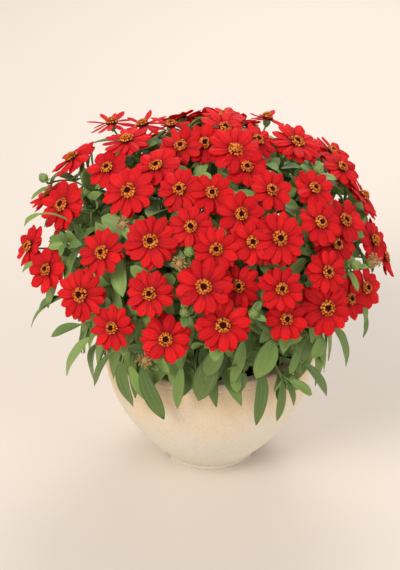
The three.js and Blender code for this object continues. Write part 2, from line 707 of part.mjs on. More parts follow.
// Bowl outline: foot, belly as a smooth line, rolled band, inner wall, floor with a drain hole, hollow foot
const belly = new THREE.SplineCurve([
  new THREE.Vector2(footRadius + 7, 9),
  new THREE.Vector2(92, 43),
  new THREE.Vector2(115.5, 88),
  new THREE.Vector2(126, 130),
  new THREE.Vector2(rimRadius - rimStep, potHeight - rimBand),
]);
const outer = belly.getPoints(6).map((point) => [point.x, point.y]);
const inner = belly.getPoints(5).map((point) => [point.x - wall, point.y]).filter(([, z]) => z > floorTop + 8);
const innerFoot = footRadius - 2;
const potProfile = [
  [footRadius - footWidth, 0],
  [footRadius, 0],
  [footRadius + 1, footHeight],
  ...outer,
  [rimRadius, potHeight - rimBand + 2],
  [rimRadius, potHeight - 2],
  [rimRadius - 2, potHeight],
  [rimRadius - rimWidth, potHeight],
  ...[...inner].reverse(),
  [innerFoot, floorTop],
  [drainRadius, floorTop],
  [drainRadius, footHeight],
  [footRadius - footWidth - 1, footHeight],
  [footRadius - footWidth, 0],
];
let potSolid = turned(potProfile, potSides);
for (let i = 0; i < notchCount; i += 1) {
  const notch = new THREE.BoxGeometry(notchWidth, 2 * footWidth, notchHeight * 2);
  notch.translate(0, -footRadius + footWidth / 2, 0);
  notch.rotateZ((-60 + notchTurn + i * 120) * degrees);
  potSolid = potSolid.subtract(toSolid(notch));
}

// Soil follows the inner wall a little clear of it, with a plain hole for each main stem
const below = inner.filter(([, z]) => z < soilLevel - 4);
const above = inner.find(([, z]) => z >= soilLevel - 4);
const [lastBelow] = below.slice(-1);
const soilShare = (soilLevel - lastBelow[1]) / (above[1] - lastBelow[1]);
const wallClear = 0.4;
const soilProfile = [
  [0, floorTop + seatGap],
  [innerFoot - 0.5, floorTop + seatGap],
  ...below.map(([r, z]) => [r - wallClear, z]),
  [between(lastBelow[0], above[0], soilShare) - wallClear, soilLevel],
  [0, soilLevel + soilMound],
];
let soilSolid = turned(soilProfile, potSides);
for (let plant = 0; plant < plants; plant += 1) {
  const bottom = atAngle(stemFoot, plantAngle(plant), soilLevel - stemDepth);
  const mouth = atAngle(stemFoot, plantAngle(plant), crownHeight);
  const hole = stemShape([bottom, mouth], [mainStem + wallClear, mainStem + wallClear], 6);
  soilSolid = soilSolid.subtract(toSolid(hole));
}

// Blooms that cross are one body: find the groups
const bloomSolids = blooms.map((bloom) => toSolid(bloomShape(bloom)));
const groupOf = blooms.map((_, i) => i);
for (let i = 0; i < blooms.length; i += 1) {
  for (let j = i + 1; j < blooms.length; j += 1) {
    const reach = blooms[i].radius + blooms[j].radius;
    const near = blooms[i].place.distanceTo(blooms[j].place) < reach;
    if (near && !bloomSolids[i].intersect(bloomSolids[j]).isEmpty()) {
      const [keep, drop] = [groupOf[i], groupOf[j]];
      groupOf.forEach((group, k) => {
        if (group === drop) groupOf[k] = keep;
      });
    }
  }
}

// Assembly
const model = new THREE.Group();
model.name = 'potted_zinnia';
function addPiece(name, solid, color, roughness) {
  const material = new THREE.MeshStandardMaterial({ color, roughness, metalness: 0 });
  const mesh = new THREE.Mesh(toGeometry(solid), material);
  mesh.name = name;
  model.add(mesh);
}
addPiece('pot', potSolid, 0xe6dcc4, 0.85);
addPiece('soil', soilSolid, 0x3d2b1f, 0.95);
for (let plant = 0; plant < plants; plant += 1) {
  addPiece(`plant_${plant + 1}`, plantSolid(plant), 0x4f7a3a, 0.6);
}
[...new Set(groupOf)].forEach((group, i) => {
  const members = bloomSolids.filter((_, k) => groupOf[k] === group);
  const name = members.length > 1 ? 'bloom_group' : 'bloom';
  addPiece(`${name}_${String(i + 1).padStart(2, '0')}`, joined(members), 0xd8141c, 0.55);
});

export default model;
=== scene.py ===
import itertools
import math

import bpy
import numpy as np
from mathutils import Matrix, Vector, noise


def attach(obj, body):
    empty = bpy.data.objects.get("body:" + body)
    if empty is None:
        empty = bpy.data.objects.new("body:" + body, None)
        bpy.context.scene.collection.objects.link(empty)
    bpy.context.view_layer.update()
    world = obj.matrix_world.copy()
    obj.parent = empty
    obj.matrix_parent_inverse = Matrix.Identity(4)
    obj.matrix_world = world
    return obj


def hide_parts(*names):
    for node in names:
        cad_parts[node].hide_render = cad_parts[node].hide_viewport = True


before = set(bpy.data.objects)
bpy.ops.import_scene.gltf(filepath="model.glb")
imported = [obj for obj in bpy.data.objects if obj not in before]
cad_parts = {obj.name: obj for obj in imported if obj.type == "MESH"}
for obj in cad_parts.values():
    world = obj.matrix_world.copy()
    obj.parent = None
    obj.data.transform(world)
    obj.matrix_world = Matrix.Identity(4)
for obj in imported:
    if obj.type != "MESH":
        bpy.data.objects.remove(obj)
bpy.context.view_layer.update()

# View: the plant is seen from the front and from above, with a long lens.
# The same eye, pitch and focal length place the blooms whose pixels were read off.
eye = Vector((-0.0114, -1.300, 1.025))
pitch = math.radians(31.5)
frame_width_px, frame_height_px = 400, 570
focal_px = 1299
sensor = 36.0
camera_data = bpy.data.cameras.new("front_view")
camera_data.sensor_fit = "VERTICAL"
camera_data.sensor_height = sensor
camera_data.lens = focal_px / frame_height_px * sensor
camera = bpy.data.objects.new("front_view", camera_data)
camera.location = eye
camera.rotation_euler = (math.pi / 2 - pitch, 0, 0)
bpy.context.scene.collection.objects.link(camera)
bpy.context.scene.camera = camera
bpy.context.scene.view_settings.view_transform = "Standard"

# Light: open shade with a broad soft source high on the left, a weaker one on the right,
# and a low one behind that keeps the far petals clear of the background.
lamp_aim = Vector((0, 0, 0.25))
world = bpy.data.worlds.new("pale_room")
world.use_nodes = True
world.node_tree.nodes["Background"].inputs["Color"].default_value = (0.93, 0.96, 1.0, 1)
world.node_tree.nodes["Background"].inputs["Strength"].default_value = 0.52
bpy.context.scene.world = world


def softbox(name, place, width, power, tint):
    lamp = bpy.data.lights.new(name, "AREA")
    lamp.size = width
    lamp.energy = power
    lamp.color = tint
    holder = bpy.data.objects.new(name, lamp)
    holder.location = place
    holder.rotation_euler = (lamp_aim - Vector(place)).to_track_quat("-Z", "Y").to_euler()
    bpy.context.scene.collection.objects.link(holder)


softbox("left_softbox", (-1.5, -1.7, 2.3), 1.3, 60, (1.0, 0.97, 0.92))
softbox("right_softbox", (2.0, -1.4, 1.5), 1.6, 20, (0.95, 0.97, 1.0))
softbox("back_softbox", (0.4, 1.9, 2.0), 1.4, 36, (1.0, 0.98, 0.95))

# Bowl: cast stone, one turned body with a rolled rim band and a low foot ring.
# Three small notches in the foot let water out, and the surface is sandy, as it left the mould.
pot_height, rim_radius, rim_band, rim_step, rim_width = 0.178, 0.132, 0.013, 0.003, 0.012
wall, foot_radius, foot_width, foot_height = 0.009, 0.061, 0.011, 0.006
floor_top, drain_radius = 0.017, 0.010
notch_width, notch_height, notch_turns = 0.009, 0.0060, (-57, 63, 183)
round_lip, round_edge, ring_top, ring_groove = 0.0025, 0.001, 0.0078, 0.0088
cast_waves = ((14, 0.0005), (55, 0.00015))
belly = [
    (foot_radius + 0.007, 0.009),
    (0.092, 0.043),
    (0.1155, 0.088),
    (0.126, 0.130),
    (rim_radius - rim_step, pot_height - rim_band),
]


def smooth_line(corners, spans):
    """Points of an even curve through the corners, spans of them between each two."""
    corners = [np.array(corner, float) for corner in corners]
    padded = [corners[0], *corners, corners[-1]]
    line = []
    for a, b, c, d in zip(padded, padded[1:], padded[2:], padded[3:]):
        for t in np.linspace(0, 1, spans, endpoint=False):
            leave, arrive = (c - a) / 2, (d - b) / 2
            line.append(
                (2 * b - 2 * c + leave + arrive) * t**3
                + (-3 * b + 3 * c - 2 * leave - arrive) * t**2
                + leave * t
                + b
            )
    return [*line, corners[-1]]


def rounded(middle, radius, start, end, steps):
    """Points of an arc, in degrees, of a profile of radius and height."""
    out, rise = middle
    turns = np.radians(np.linspace(start, end, steps))
    return [np.array([out + radius * math.cos(t), rise + radius * math.sin(t)]) for t in turns]


def uneven(point, layers):
    """Unevenness at a point from layers of waves, each with its waves per metre and its height."""
    return sum(noise.noise(Vector(point) * waves) * height for waves, height in layers)


def grid_faces(rows, columns, row_steps, column_steps):
    """Four-cornered faces over a grid of points. A closed way has as many steps as points."""
    row, column = np.meshgrid(np.arange(row_steps), np.arange(column_steps), indexing="ij")
    after, beside = (row + 1) % rows, (column + 1) % columns
    corners = [row * columns + column, row * columns + beside, after * columns + beside, after * columns + column]
    return np.stack(corners, axis=-1).reshape(-1, 4)


class Stock:
    """Points, faces and finishes of one piece while it is made; blade tells where a point lies on its leaf."""

    def __init__(self):
        self.points, self.blade, self.count = [], [], 0
        self.faces, self.finish = {3: [], 4: []}, {3: [], 4: []}

    def add_points(self, points, blade=None):
        points = np.asarray(points, float).reshape(-1, 3)
        blade = np.zeros((len(points), 2)) if blade is None else np.asarray(blade, float).reshape(-1, 2)
        self.points.append(points)
        self.blade.append(blade)
        self.count += len(points)
        return self.count - len(points)

    def add_faces(self, faces, finish):
        faces = np.asarray(faces, int)
        self.faces[faces.shape[1]].append(faces)
        self.finish[faces.shape[1]].append(np.full(len(faces), finish))

    def absorb(self, other, turn, place):
        """Takes in another stock, turned and put in its place."""
        first = self.add_points(np.concatenate(other.points) @ turn.T + place, np.concatenate(other.blade))
        for corners in (3, 4):
            for faces, finish in zip(other.faces[corners], other.finish[corners]):
                self.faces[corners].append(faces + first)
                self.finish[corners].append(finish)


def make_piece(name, stock, finishes):
    """One mesh object from a stock, smooth, with its finishes."""
    mesh = bpy.data.meshes.new(name)
    points = np.concatenate(stock.points)
    faces, finish = [], []
    for corners in (4, 3):
        for group in stock.faces[corners]:
            faces += group.tolist()
        finish += stock.finish[corners]
    mesh.from_pydata(points.tolist(), [], faces)
    for material in finishes:
        mesh.materials.append(material)
    mesh.polygons.foreach_set("material_index", np.concatenate(finish).astype(np.int32))
    mesh.polygons.foreach_set("use_smooth", np.ones(len(faces), bool))
    corners = np.zeros(len(mesh.loops), np.int32)
    mesh.loops.foreach_get("vertex_index", corners)
    layer = mesh.uv_layers.new(name="blade")
    layer.data.foreach_set("uv", np.concatenate(stock.blade)[corners].astype(np.float32).ravel())
    mesh.update()
    piece = bpy.data.objects.new(name, mesh)
    bpy.context.scene.collection.objects.link(piece)
    return piece


def add_turned(stock, profile, turns, finish):
    """A body turned from a closed profile, at the given angles."""
    radius, height = np.array(profile).T[:, :, None]
    points = np.stack([radius * np.cos(turns), radius * np.sin(turns), height + 0 * turns], axis=-1)
    rows, columns = len(profile), len(turns)
    stock.add_faces(stock.add_points(points) + grid_faces(rows, columns, rows, columns), finish)


def new_finish(name, roughness):
    """A material, its node tree and its shader."""
    material = bpy.data.materials.new(name)
    material.use_nodes = True
    shader = material.node_tree.nodes["Principled BSDF"]
    shader.inputs["Roughness"].default_value = roughness
    return material, material.node_tree, shader


def node(tree, kind, **values):
    """A node with its settings; in_3 sets its input 3 to a value, or links it to another node's output."""
    made = tree.nodes.new(kind)
    for key, value in values.items():
        if not key.startswith("in_"):
            setattr(made, key, value)
        elif isinstance(value, bpy.types.NodeSocket):
            tree.links.new(value, made.inputs[int(key[3:])])
        else:
            made.inputs[int(key[3:])].default_value = value
    return made


def math_node(tree, operation, first, second=0.0, clamp=False):
    made = node(tree, "ShaderNodeMath", operation=operation, in_0=first, in_1=second, use_clamp=clamp)
    return made.outputs[0]


def mix_colours(tree, share, first, second):
    return node(tree, "ShaderNodeMix", data_type="RGBA", in_0=share, in_6=first, in_7=second).outputs[2]


def share_between(tree, value, low, high):
    """0 at the low value, 1 at the high one."""
    return node(tree, "ShaderNodeMapRange", in_0=value, in_1=low, in_2=high).outputs[0]


def colour(red, green, blue):
    """A colour named as a painter's 0 to 255 mix, for the shader."""
    parts = [part / 255 for part in (red, green, blue)]
    return (*[part / 12.92 if part < 0.04 else ((part + 0.055) / 1.055) ** 2.4 for part in parts], 1)


def new_group(name, settings, results):
    """A node group, what it is given and what it puts out."""
    group = bpy.data.node_groups.new(name, "ShaderNodeTree")
    for way, sockets in (("INPUT", settings), ("OUTPUT", results)):
        for socket in sockets:
            group.interface.new_socket(socket, in_out=way, socket_type="NodeSocketFloat")
    return group, group.nodes.new("NodeGroupInput").outputs, group.nodes.new("NodeGroupOutput").inputs


def placed(tree, group, **settings):
    """What a group puts out in a material, with its settings there."""
    here = node(tree, "ShaderNodeGroup", node_tree=group)
    for name, value in settings.items():
        here.inputs[name.replace("_", " ").capitalize()].default_value = value
    return here.outputs


def add_relief(tree, shader, height, strength, depth, invert=False):
    """Fine relief from a height of 0 to 1, its depth in metres."""
    bump = node(tree, "ShaderNodeBump", invert=invert, in_0=strength, in_1=depth)
    tree.links.new(height, bump.inputs["Height"])
    tree.links.new(bump.outputs[0], shader.inputs["Normal"])


# A grain for cast and earthy things: fine grit, soft blotches and pits
grain, given, result = new_group("grit", ("Grit size", "Blotch size"), ("Grit", "Blotch", "Pits"))
position = grain.nodes.new("ShaderNodeNewGeometry").outputs["Position"]
grit_scale = math_node(grain, "DIVIDE", 1.0, given["Grit size"])
blotch_scale = math_node(grain, "DIVIDE", 1.0, given["Blotch size"])
pit_scale = math_node(grain, "MULTIPLY", grit_scale, 0.55)
grit_noise = node(grain, "ShaderNodeTexNoise", in_0=position, in_2=grit_scale, in_3=3.0, in_4=0.62)
blotch_noise = node(grain, "ShaderNodeTexNoise", in_0=position, in_2=blotch_scale, in_3=5.0, in_4=0.58)
cells = node(grain, "ShaderNodeTexVoronoi", in_0=position, in_2=pit_scale)
grain.links.new(grit_noise.outputs[0], result["Grit"])
grain.links.new(blotch_noise.outputs[0], result["Blotch"])
grain.links.new(math_node(grain, "MULTIPLY", cells.outputs[0], 1.4, clamp=True), result["Pits"])

cast_stone, tree, shader = new_finish("cast_stone", 0.86)
shader.inputs["Specular IOR Level"].default_value = 0.3
sand = placed(tree, grain, grit_size=0.0014, blotch_size=0.060)
position = tree.nodes.new("ShaderNodeNewGeometry").outputs["Position"]
level = node(tree, "ShaderNodeSeparateXYZ", in_0=position).outputs[2]


def painted_shade_line(height, strength, fade):
    """A line of painted shade round the bowl at a height, which fades above and below it."""
    away = math_node(tree, "ABSOLUTE", math_node(tree, "SUBTRACT", level, height))
    return math_node(tree, "SUBTRACT", strength, math_node(tree, "MULTIPLY", away, fade), clamp=True)


patchy = math_node(tree, "ADD", share_between(tree, level, 0.045, 0.150), sand["Blotch"])
warm = math_node(tree, "SUBTRACT", math_node(tree, "MULTIPLY", patchy, 1.6), 1.25, clamp=True)
stained = mix_colours(tree, warm, colour(238, 230, 212), colour(240, 206, 164))
speckle = math_node(tree, "MULTIPLY", share_between(tree, sand["Grit"], 0.36, 0.64), 0.5)
sanded = mix_colours(tree, speckle, stained, colour(242, 232, 212))
pit_share = math_node(tree, "MULTIPLY", math_node(tree, "SUBTRACT", 1.0, sand["Pits"]), 0.22)
pitted = mix_colours(tree, pit_share, sanded, colour(196, 178, 148))
# Painted shade: darker lines in the crease above the foot ring and under the rim band, where shade falls
painted_crease_shade = math_node(tree, "ADD", painted_shade_line(ring_groove, 0.8, 300.0), painted_shade_line(pot_height - rim_band, 0.35, 180.0))
tree.links.new(mix_colours(tree, painted_crease_shade, pitted, colour(120, 104, 78)), shader.inputs["Base Color"])
sandy = math_node(tree, "ADD", sand["Grit"], math_node(tree, "MULTIPLY", sand["Pits"], 0.5))
add_relief(tree, shader, sandy, 0.7, 0.0007)

band_low, inner_top = pot_height - rim_band, rim_radius - rim_width
inner = [(r - wall, z) for r, z in smooth_line(belly, 5) if z > floor_top + 0.008]
pot_profile = [
    *rounded((foot_radius - foot_width + round_edge, round_edge), round_edge, 180, 270, 3),
    *rounded((foot_radius - round_edge, round_edge), round_edge, 270, 350, 3),
    (foot_radius + 0.001, ring_top),
    (foot_radius + 0.0012, ring_top + 0.0008),
    (foot_radius + 0.0042, ring_top + 0.0020),
    *smooth_line([(foot_radius + 0.0052, ring_top + 0.0032), *belly[1:]], 9)[:-1],
    (rim_radius - rim_step, band_low - 0.0006),
    *rounded((rim_radius - round_lip, band_low + 0.002 + round_lip), round_lip, -70, 0, 5),
    *rounded((rim_radius - round_lip, pot_height - round_lip), round_lip, 10, 90, 6),
    *rounded((inner_top + round_lip, pot_height - round_lip), round_lip, 100, 180, 6),
    *reversed(inner),
    (foot_radius - 0.002, floor_top),
    (drain_radius + round_edge, floor_top),
    *rounded((drain_radius + round_edge, floor_top - round_edge), round_edge, 120, 180, 3),
    (drain_radius, foot_height),
    (foot_radius - foot_width - 0.001, foot_height),
]
even_turns = np.arange(0, 360, 3.0)
near_notches = np.concatenate([turn - 90 + np.arange(-6, 6.1, 0.5) for turn in notch_turns])
pot_turns = np.radians(np.unique(np.round(np.concatenate([even_turns, near_notches % 360]), 2)))
pot_stock = Stock()
add_turned(pot_stock, pot_profile, pot_turns, 0)
pot_points = pot_stock.points[0]
angles = np.degrees(np.arctan2(pot_points[:, 1], pot_points[:, 0]))
for turn in notch_turns:
    # Each notch is level across its top and steep at its sides
    off = np.abs((angles - (turn - 90) + 180) % 360 - 180) * math.pi / 180 * foot_radius
    arch = notch_height * np.clip(1.25 - off / (notch_width / 2), 0, 0.2) * 5
    ring = np.hypot(pot_points[:, 0], pot_points[:, 1]) > foot_radius - foot_width - 0.0005
    low = ring & (pot_points[:, 2] < arch)
    pot_points[low, 2] = arch[low]
for point in pot_points:
    if point[2] > 0.012:
        wave = uneven(point, cast_waves)
        point[:2] *= 1 - (abs(wave) + wave) / np.hypot(point[0], point[1])
bowl = make_piece("cast_stone_bowl", pot_stock, [cast_stone])
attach(bowl, "root")
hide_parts("pot")

# Soil: damp dark potting mix that fills the bowl to a little under the rim, lumpy on top,
# with loose crumbs of bark and a few pale grains of pumice.
soil_level, soil_mound, seat_gap, wall_clear = 0.154, 0.003, 0.0003, 0.0004
soil_lumps = ((45, 0.0022), (160, 0.0012))
crumbs, crumb_reach, pumice_every = 420, 0.112, 14


def between(low, high, share):
    return low + (high - low) * share


def vary(item, trait):
    """Repeatable variation between 0 and 1 for each item and trait."""
    wave = math.sin(item * 127.1 + trait * 311.7) * 43758.5453
    return wave - math.floor(wave)


def drawn(low, high, item, trait):
    """A value between two others, drawn for an item and a trait."""
    return between(low, high, vary(item, trait))


def round_point(out, turn, z):
    """A point at a distance from the upright axis, an angle round it and a height."""
    return out * math.cos(turn), out * math.sin(turn), z


potting_mix, tree, shader = new_finish("potting_mix", 0.96)
earth = placed(tree, grain, grit_size=0.0016, blotch_size=0.02)
damp = mix_colours(tree, earth["Grit"], colour(38, 26, 18), colour(92, 68, 48))
tree.links.new(mix_colours(tree, earth["Blotch"], damp, colour(50, 36, 26)), shader.inputs["Base Color"])
add_relief(tree, shader, earth["Grit"], 0.9, 0.0012)

pumice, tree, shader = new_finish("pumice", 0.9)
pores = placed(tree, grain, grit_size=0.0008, blotch_size=0.01)["Pits"]
tree.links.new(mix_colours(tree, pores, colour(176, 164, 146), colour(214, 206, 192)), shader.inputs["Base Color"])


def add_crumb(stock, middle, size, item, finish):
    """A small uneven lump."""
    rings = [(0, 1), (0.8, 0.55), (0.95, -0.2), (0, -0.8)]
    points = []
    for row, (out, rise) in enumerate(rings):
        for k in range(5 if out else 1):
            reach = size * (0.7 + 0.6 * vary(item * 9 + row * 5 + k, 4))
            points.append(round_point(out * reach, 2 * math.pi * (k / 5 + vary(item, 3)), rise * reach * 0.7))
    first = stock.add_points(np.array(points) + middle)
    fan = [[0, 1 + k, 1 + (k + 1) % 5] for k in range(5)] + [[11, 6 + (k + 1) % 5, 6 + k] for k in range(5)]
    band = [[1 + k, 6 + k, 6 + (k + 1) % 5, 1 + (k + 1) % 5] for k in range(5)]
    stock.add_faces(first + np.array(fan), finish)
    stock.add_faces(first + np.array(band), finish)


edge = np.interp(soil_level, [z for r, z in inner], [r for r, z in inner]) - wall_clear
soil_profile = [
    (0, floor_top + seat_gap),
    (foot_radius - 0.0025, floor_top + seat_gap),
    *[(r - wall_clear, z) for r, z in inner if z < soil_level - 0.004],
    *[(edge * share, soil_level + soil_mound * (1 - share)) for share in np.linspace(1, 0, 36)],
]
soil_stock = Stock()
add_turned(soil_stock, soil_profile, np.radians(np.arange(0, 360, 4.0)), 0)
for point in soil_stock.points[0]:
    if point[2] > soil_level - 0.001:
        point[2] += uneven(point, soil_lumps) - 0.0015
for item in range(crumbs):
    out = crumb_reach * math.sqrt(vary(item, 1))
    rest = soil_level + soil_mound * (1 - out / edge) - 0.001
    middle = round_point(out, 2 * math.pi * vary(item, 2), rest)
    add_crumb(soil_stock, middle, drawn(0.0012, 0.0034, item, 5), item, 0 if item % pumice_every else 1)
soil = make_piece("potting_soil", soil_stock, [potting_mix, pumice])
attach(soil, "root")
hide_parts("soil")

# Where the blooms stand: each one seen from the front is placed by a pixel of its middle, on a rounded
# dome. The far side is filled by a spiral rule, as couples whose nearest petals cross.
mm = 0.001
dome_middle = Vector((-0.004, 0, 0.280))
dome_radii = Vector((0.193, 0.193, 0.146))
bloom_gap, back_tries, back_middle = 0.042, 260, Vector((0.006, 0.004, 0.280))
couple_spread, couple_overlap, crown_drop = 0.113, 0.009, 0.06
back_low, back_high, back_from_y, back_from_x = -0.12, 0.97, -0.020, 0.160
small_bloom, large_bloom = 0.046, 0.058
low_face, high_face, turn_to_view = 28, 66, 0.5
golden_turn = math.radians(137.508)
up = Vector((0, 0, 1))
ahead = Vector((0, math.cos(pitch), -math.sin(pitch)))
overhead = Vector((0, math.sin(pitch), math.cos(pitch)))

# x, y and wide are in pixels of the view. back sets a bloom that many mm behind the dome, up turns it up by
# degrees and view turns it to the eye. A ripe bloom has a full disc, a full one more petals, a worn one fewer.
seen = [
    dict(x=112, y=124, wide=47, up=24, view=0, ripe=True, worn=True),
    dict(x=143, y=126, wide=46, up=24, view=0, back=12, ripe=True, worn=True),
    dict(x=171, y=126, wide=44, up=24, view=0, back=12, worn=True),
    dict(x=224, y=117, wide=42, back=12),
    dict(x=224, y=129, wide=47, up=-8, back=-10),
    dict(x=267, y=119, wide=40, up=24, view=0, ripe=True, worn=True),
    dict(x=296, y=143, wide=55, full=True),
    dict(x=73, y=159, wide=52, up=8, view=0.15, ripe=True),
    dict(x=127, y=141, wide=50, up=16, view=0.1, back=-8, ripe=True),
    dict(x=108, y=169, wide=45, back=6),
    dict(x=157, y=167, wide=48, view=0.2),
    dict(x=181, y=147, wide=44),
    dict(x=205, y=144, wide=44, back=2),
    dict(x=235, y=151, wide=54, back=-6, ripe=True, full=True),
    dict(x=257, y=141, wide=42, back=12),
    dict(x=341, y=168, wide=42),
    dict(x=129, y=192, wide=54),
    dict(x=180, y=190, wide=46),
    dict(x=212, y=194, wide=44, back=1),
    dict(x=271, y=191, wide=43),
    dict(x=314, y=189, wide=41),
    dict(x=362, y=197, wide=48, view=0.2, ripe=True),
    dict(x=63, y=206, wide=52, full=True),
    dict(x=49, y=196, wide=42, up=20, view=0.1, back=22),
    dict(x=30, y=247, wide=44, back=8),
    dict(x=48, y=270, wide=46),
    dict(x=103, y=253, wide=49),
    dict(x=151, y=242, wide=54),
    dict(x=191, y=227, wide=45),
    dict(x=241, y=215, wide=47),
    dict(x=320, y=223, wide=46, back=-5),
    dict(x=344, y=221, wide=48, back=9),
    dict(x=373, y=241, wide=42, ripe=True),
    dict(x=216, y=250, wide=40),
    dict(x=252, y=243, wide=42, back=1),
    dict(x=279, y=239, wide=54, back=-4, full=True),
    dict(x=336, y=245, wide=40, back=16),
    dict(x=327, y=272, wide=41),
    dict(x=204, y=287, wide=56, full=True),
    dict(x=150, y=294, wide=48),
    dict(x=238, y=286, wide=42, back=17),
    dict(x=281, y=289, wide=46),
    dict(x=365, y=288, wide=44),
    dict(x=81, y=295, wide=53),
    dict(x=113, y=328, wide=46),
    dict(x=166, y=339, wide=49),
    dict(x=223, y=325, wide=54),
    dict(x=286, y=319, wide=42, back=6),
    dict(x=326, y=308, wide=55, back=-2, full=True),
    dict(x=331, y=152, wide=44, back=14),
    dict(x=246, y=168, wide=44, back=7),
    dict(x=349, y=299, wide=42, back=18),
]


def at_angle(radius, angle, z):
    return Vector(round_point(radius, angle, z))


def meet(x, y, middle, radii):
    """Where the line of sight through a pixel meets a rounded body, or comes nearest to it."""
    line = ahead.copy()
    line.x += (x - frame_width_px / 2) / focal_px
    line += overhead * ((frame_height_px / 2 - y) / focal_px)
    start = Vector([part / radius for part, radius in zip(eye - middle, radii)])
    way = Vector([part / radius for part, radius in zip(line, radii)])
    a, b, c = way.dot(way), start.dot(way), start.dot(start) - 1
    far = (-b - math.sqrt(max(b * b - a * c, 0))) / a
    return eye + line * far, line.normalized()


def on_dome(x, y, back):
    place, line = meet(x, y, dome_middle, dome_radii)
    return place + line * back * mm


def facing(place, middle, turn_up, turn_side, to_view):
    """Facing of a bloom: outward, more upward higher on the dome, and turned part of the way to the view."""
    height = min(max((place.z - dome_middle.z) / dome_radii.z, 0), 1)
    rise = math.radians(between(low_face, high_face, height**1.6) + turn_up)
    outward = math.atan2(place.y - middle.y, place.x - middle.x) + math.radians(turn_side)
    return (at_angle(math.cos(rise), outward, math.sin(rise)) - ahead * to_view).normalized()


def spiral_point(i, count, lowest, highest):
    height = between(lowest, highest, (i + 0.5) / count)
    return at_angle(math.sqrt(1 - height * height), (i + 0.5) * golden_turn, height)


def stretched(point, radii):
    return Vector([part * radius for part, radius in zip(point, radii)])


blooms = []


def add_bloom(place, across, normal, spin, shape):
    radius = min(max(across, small_bloom), large_bloom) / 2
    cup = drawn(-0.08, 0.1, shape, 3)
    blooms.append(dict(id=len(blooms), place=place, normal=normal, spin=spin, radius=radius, cup=cup))


for i, spot in enumerate(seen):
    place = on_dome(spot["x"], spot["y"], spot.get("back", 0))
    depth = (place - eye).dot(ahead)
    tilt = spot.get("up", 0) + drawn(-5, 5, i, 1)
    normal = facing(place, dome_middle, tilt, drawn(-9, 9, i, 2), spot.get("view", turn_to_view))
    add_bloom(place, spot["wide"] * depth / focal_px, normal, 2 * math.pi * vary(i, 4), i)

for i in range(back_tries):
    outward = spiral_point(i, back_tries, back_low, back_high)
    along = Vector((-outward.y, outward.x, 0)).normalized()
    reach = drawn(0.95, 1.02, i, 15) - crown_drop * max(outward.z, 0)
    couple = [stretched((outward + along * share).normalized() * reach, dome_radii) + back_middle
              for share in (-couple_spread, couple_spread)]
    hidden = all(place.y > back_from_y or abs(place.x) > back_from_x for place in couple)
    if hidden and all((bloom["place"] - place).length > bloom_gap for bloom in blooms for place in couple):
        tilt = drawn(-8, 10, i, 17)
        for place, partner in (couple, couple[::-1]):
            normal = facing(place, back_middle, tilt, 0, 0)
            way = partner - place
            across = way.length + couple_overlap
            way.rotate(normal.rotation_difference(up))
            add_bloom(place, across, normal, math.atan2(way.y, way.x), i + 500)

bloom_places, bloom_normals, bloom_radii, bloom_cups = [
    np.array([bloom[part] for bloom in blooms]) for part in ("place", "normal", "radius", "cup")]


def clear_of_blooms(point, own, margin):
    """A point keeps clear of every bloom except its own."""
    offset = np.array(point) - bloom_places
    along = np.einsum("ij,ij->i", offset, bloom_normals)
    out = np.sqrt(np.maximum(np.einsum("ij,ij->i", offset, offset) - along * along, 0))
    slope = bloom_cups * np.minimum(out, bloom_radii)
    low = np.minimum(slope, 0) - 0.0014 - margin
    high = np.maximum(slope, 0) + 0.0032 + margin + np.where(out < 0.009, 0.002, 0)
    free = (out > bloom_radii + margin) | (along < low) | (along > high)
    if own is not None:
        free[own] = True
    return free.all()


# Stalks and branches: three plants fill a third of the round each, from a woody main stem in the soil.
# Each bloom and bud has its own green stalk that bends to meet it from behind, clear of its neighbours.
plants, stem_foot, stem_depth, crown_height = 3, 0.050, 0.024, 0.212
core_share, root_share, stalk_runs = 0.74, 0.56, (0.007, 0.012, 0.018, 0.026, 0.034)
stalk_clear, stalk_sector_edge, thick_stalk_clear, thin_stalk_clear = 0.0022, 0.0025, 0.0035, 0.007
sector = 2 * math.pi / plants
heads = [
    dict(x=46, y=181, kind="bud", back=4),
    dict(x=189, y=253, kind="bud", back=6),
    dict(x=185, y=313, kind="bud", back=8),
    dict(x=253, y=314, kind="bud", back=2),
    dict(x=353, y=267, kind="bud", back=4),
    dict(x=368, y=265, kind="spent", back=8),
    dict(x=317, y=172, kind="bud", back=8),
    dict(x=126, y=228, kind="spent", back=18),
    dict(x=179, y=266, kind="spent", back=14),
    dict(x=147, y=361, kind="spent", back=12),
    dict(x=64, y=243, kind="tip", back=8),
    dict(x=286, y=380, kind="tip", back=4),
]


def plant_angle(plant):
    return plant * sector - math.pi / 2


def plant_of(point):
    turn = math.atan2(point.y, point.x) + (math.pi + sector) / 2 + 2 * math.pi
    return int((turn % (2 * math.pi)) / sector)


def inside_sector(point, plant, margin):
    low, high = plant_angle(plant) - sector / 2, plant_angle(plant) + sector / 2
    from_low = point[1] * math.cos(low) - point[0] * math.sin(low)
    from_high = point[0] * math.sin(high) - point[1] * math.cos(high)
    return from_low > margin and from_high > margin


stalks = []


def add_stalk(foot, normal, own, kind):
    """A stalk from inside its plant to its bloom or bud, with the first bend that has room."""
    plant = plant_of(foot)
    root = Vector((foot.x, foot.y, foot.z - dome_middle.z)) * root_share
    root.z += dome_middle.z
    root += at_angle(0.004, plant_angle(plant), 0)
    bend = foot - normal * stalk_runs[0]
    for i in range(5 * len(stalk_runs)):
        option = foot - normal * stalk_runs[i % len(stalk_runs)] + at_angle(0.008 * (i // 5), i * 1.3, 0)
        run = [root.lerp(option, k / 16) for k in range(17)] + [option.lerp(foot, k / 6) for k in range(5)]
        room = inside_sector(option, plant, stalk_sector_edge)
        if room and all(clear_of_blooms(point, own, stalk_clear) for point in run):
            bend = option
            break
    stalks.append(dict(plant=plant, root=root, bend=bend, foot=foot, normal=normal, own=own, kind=kind))


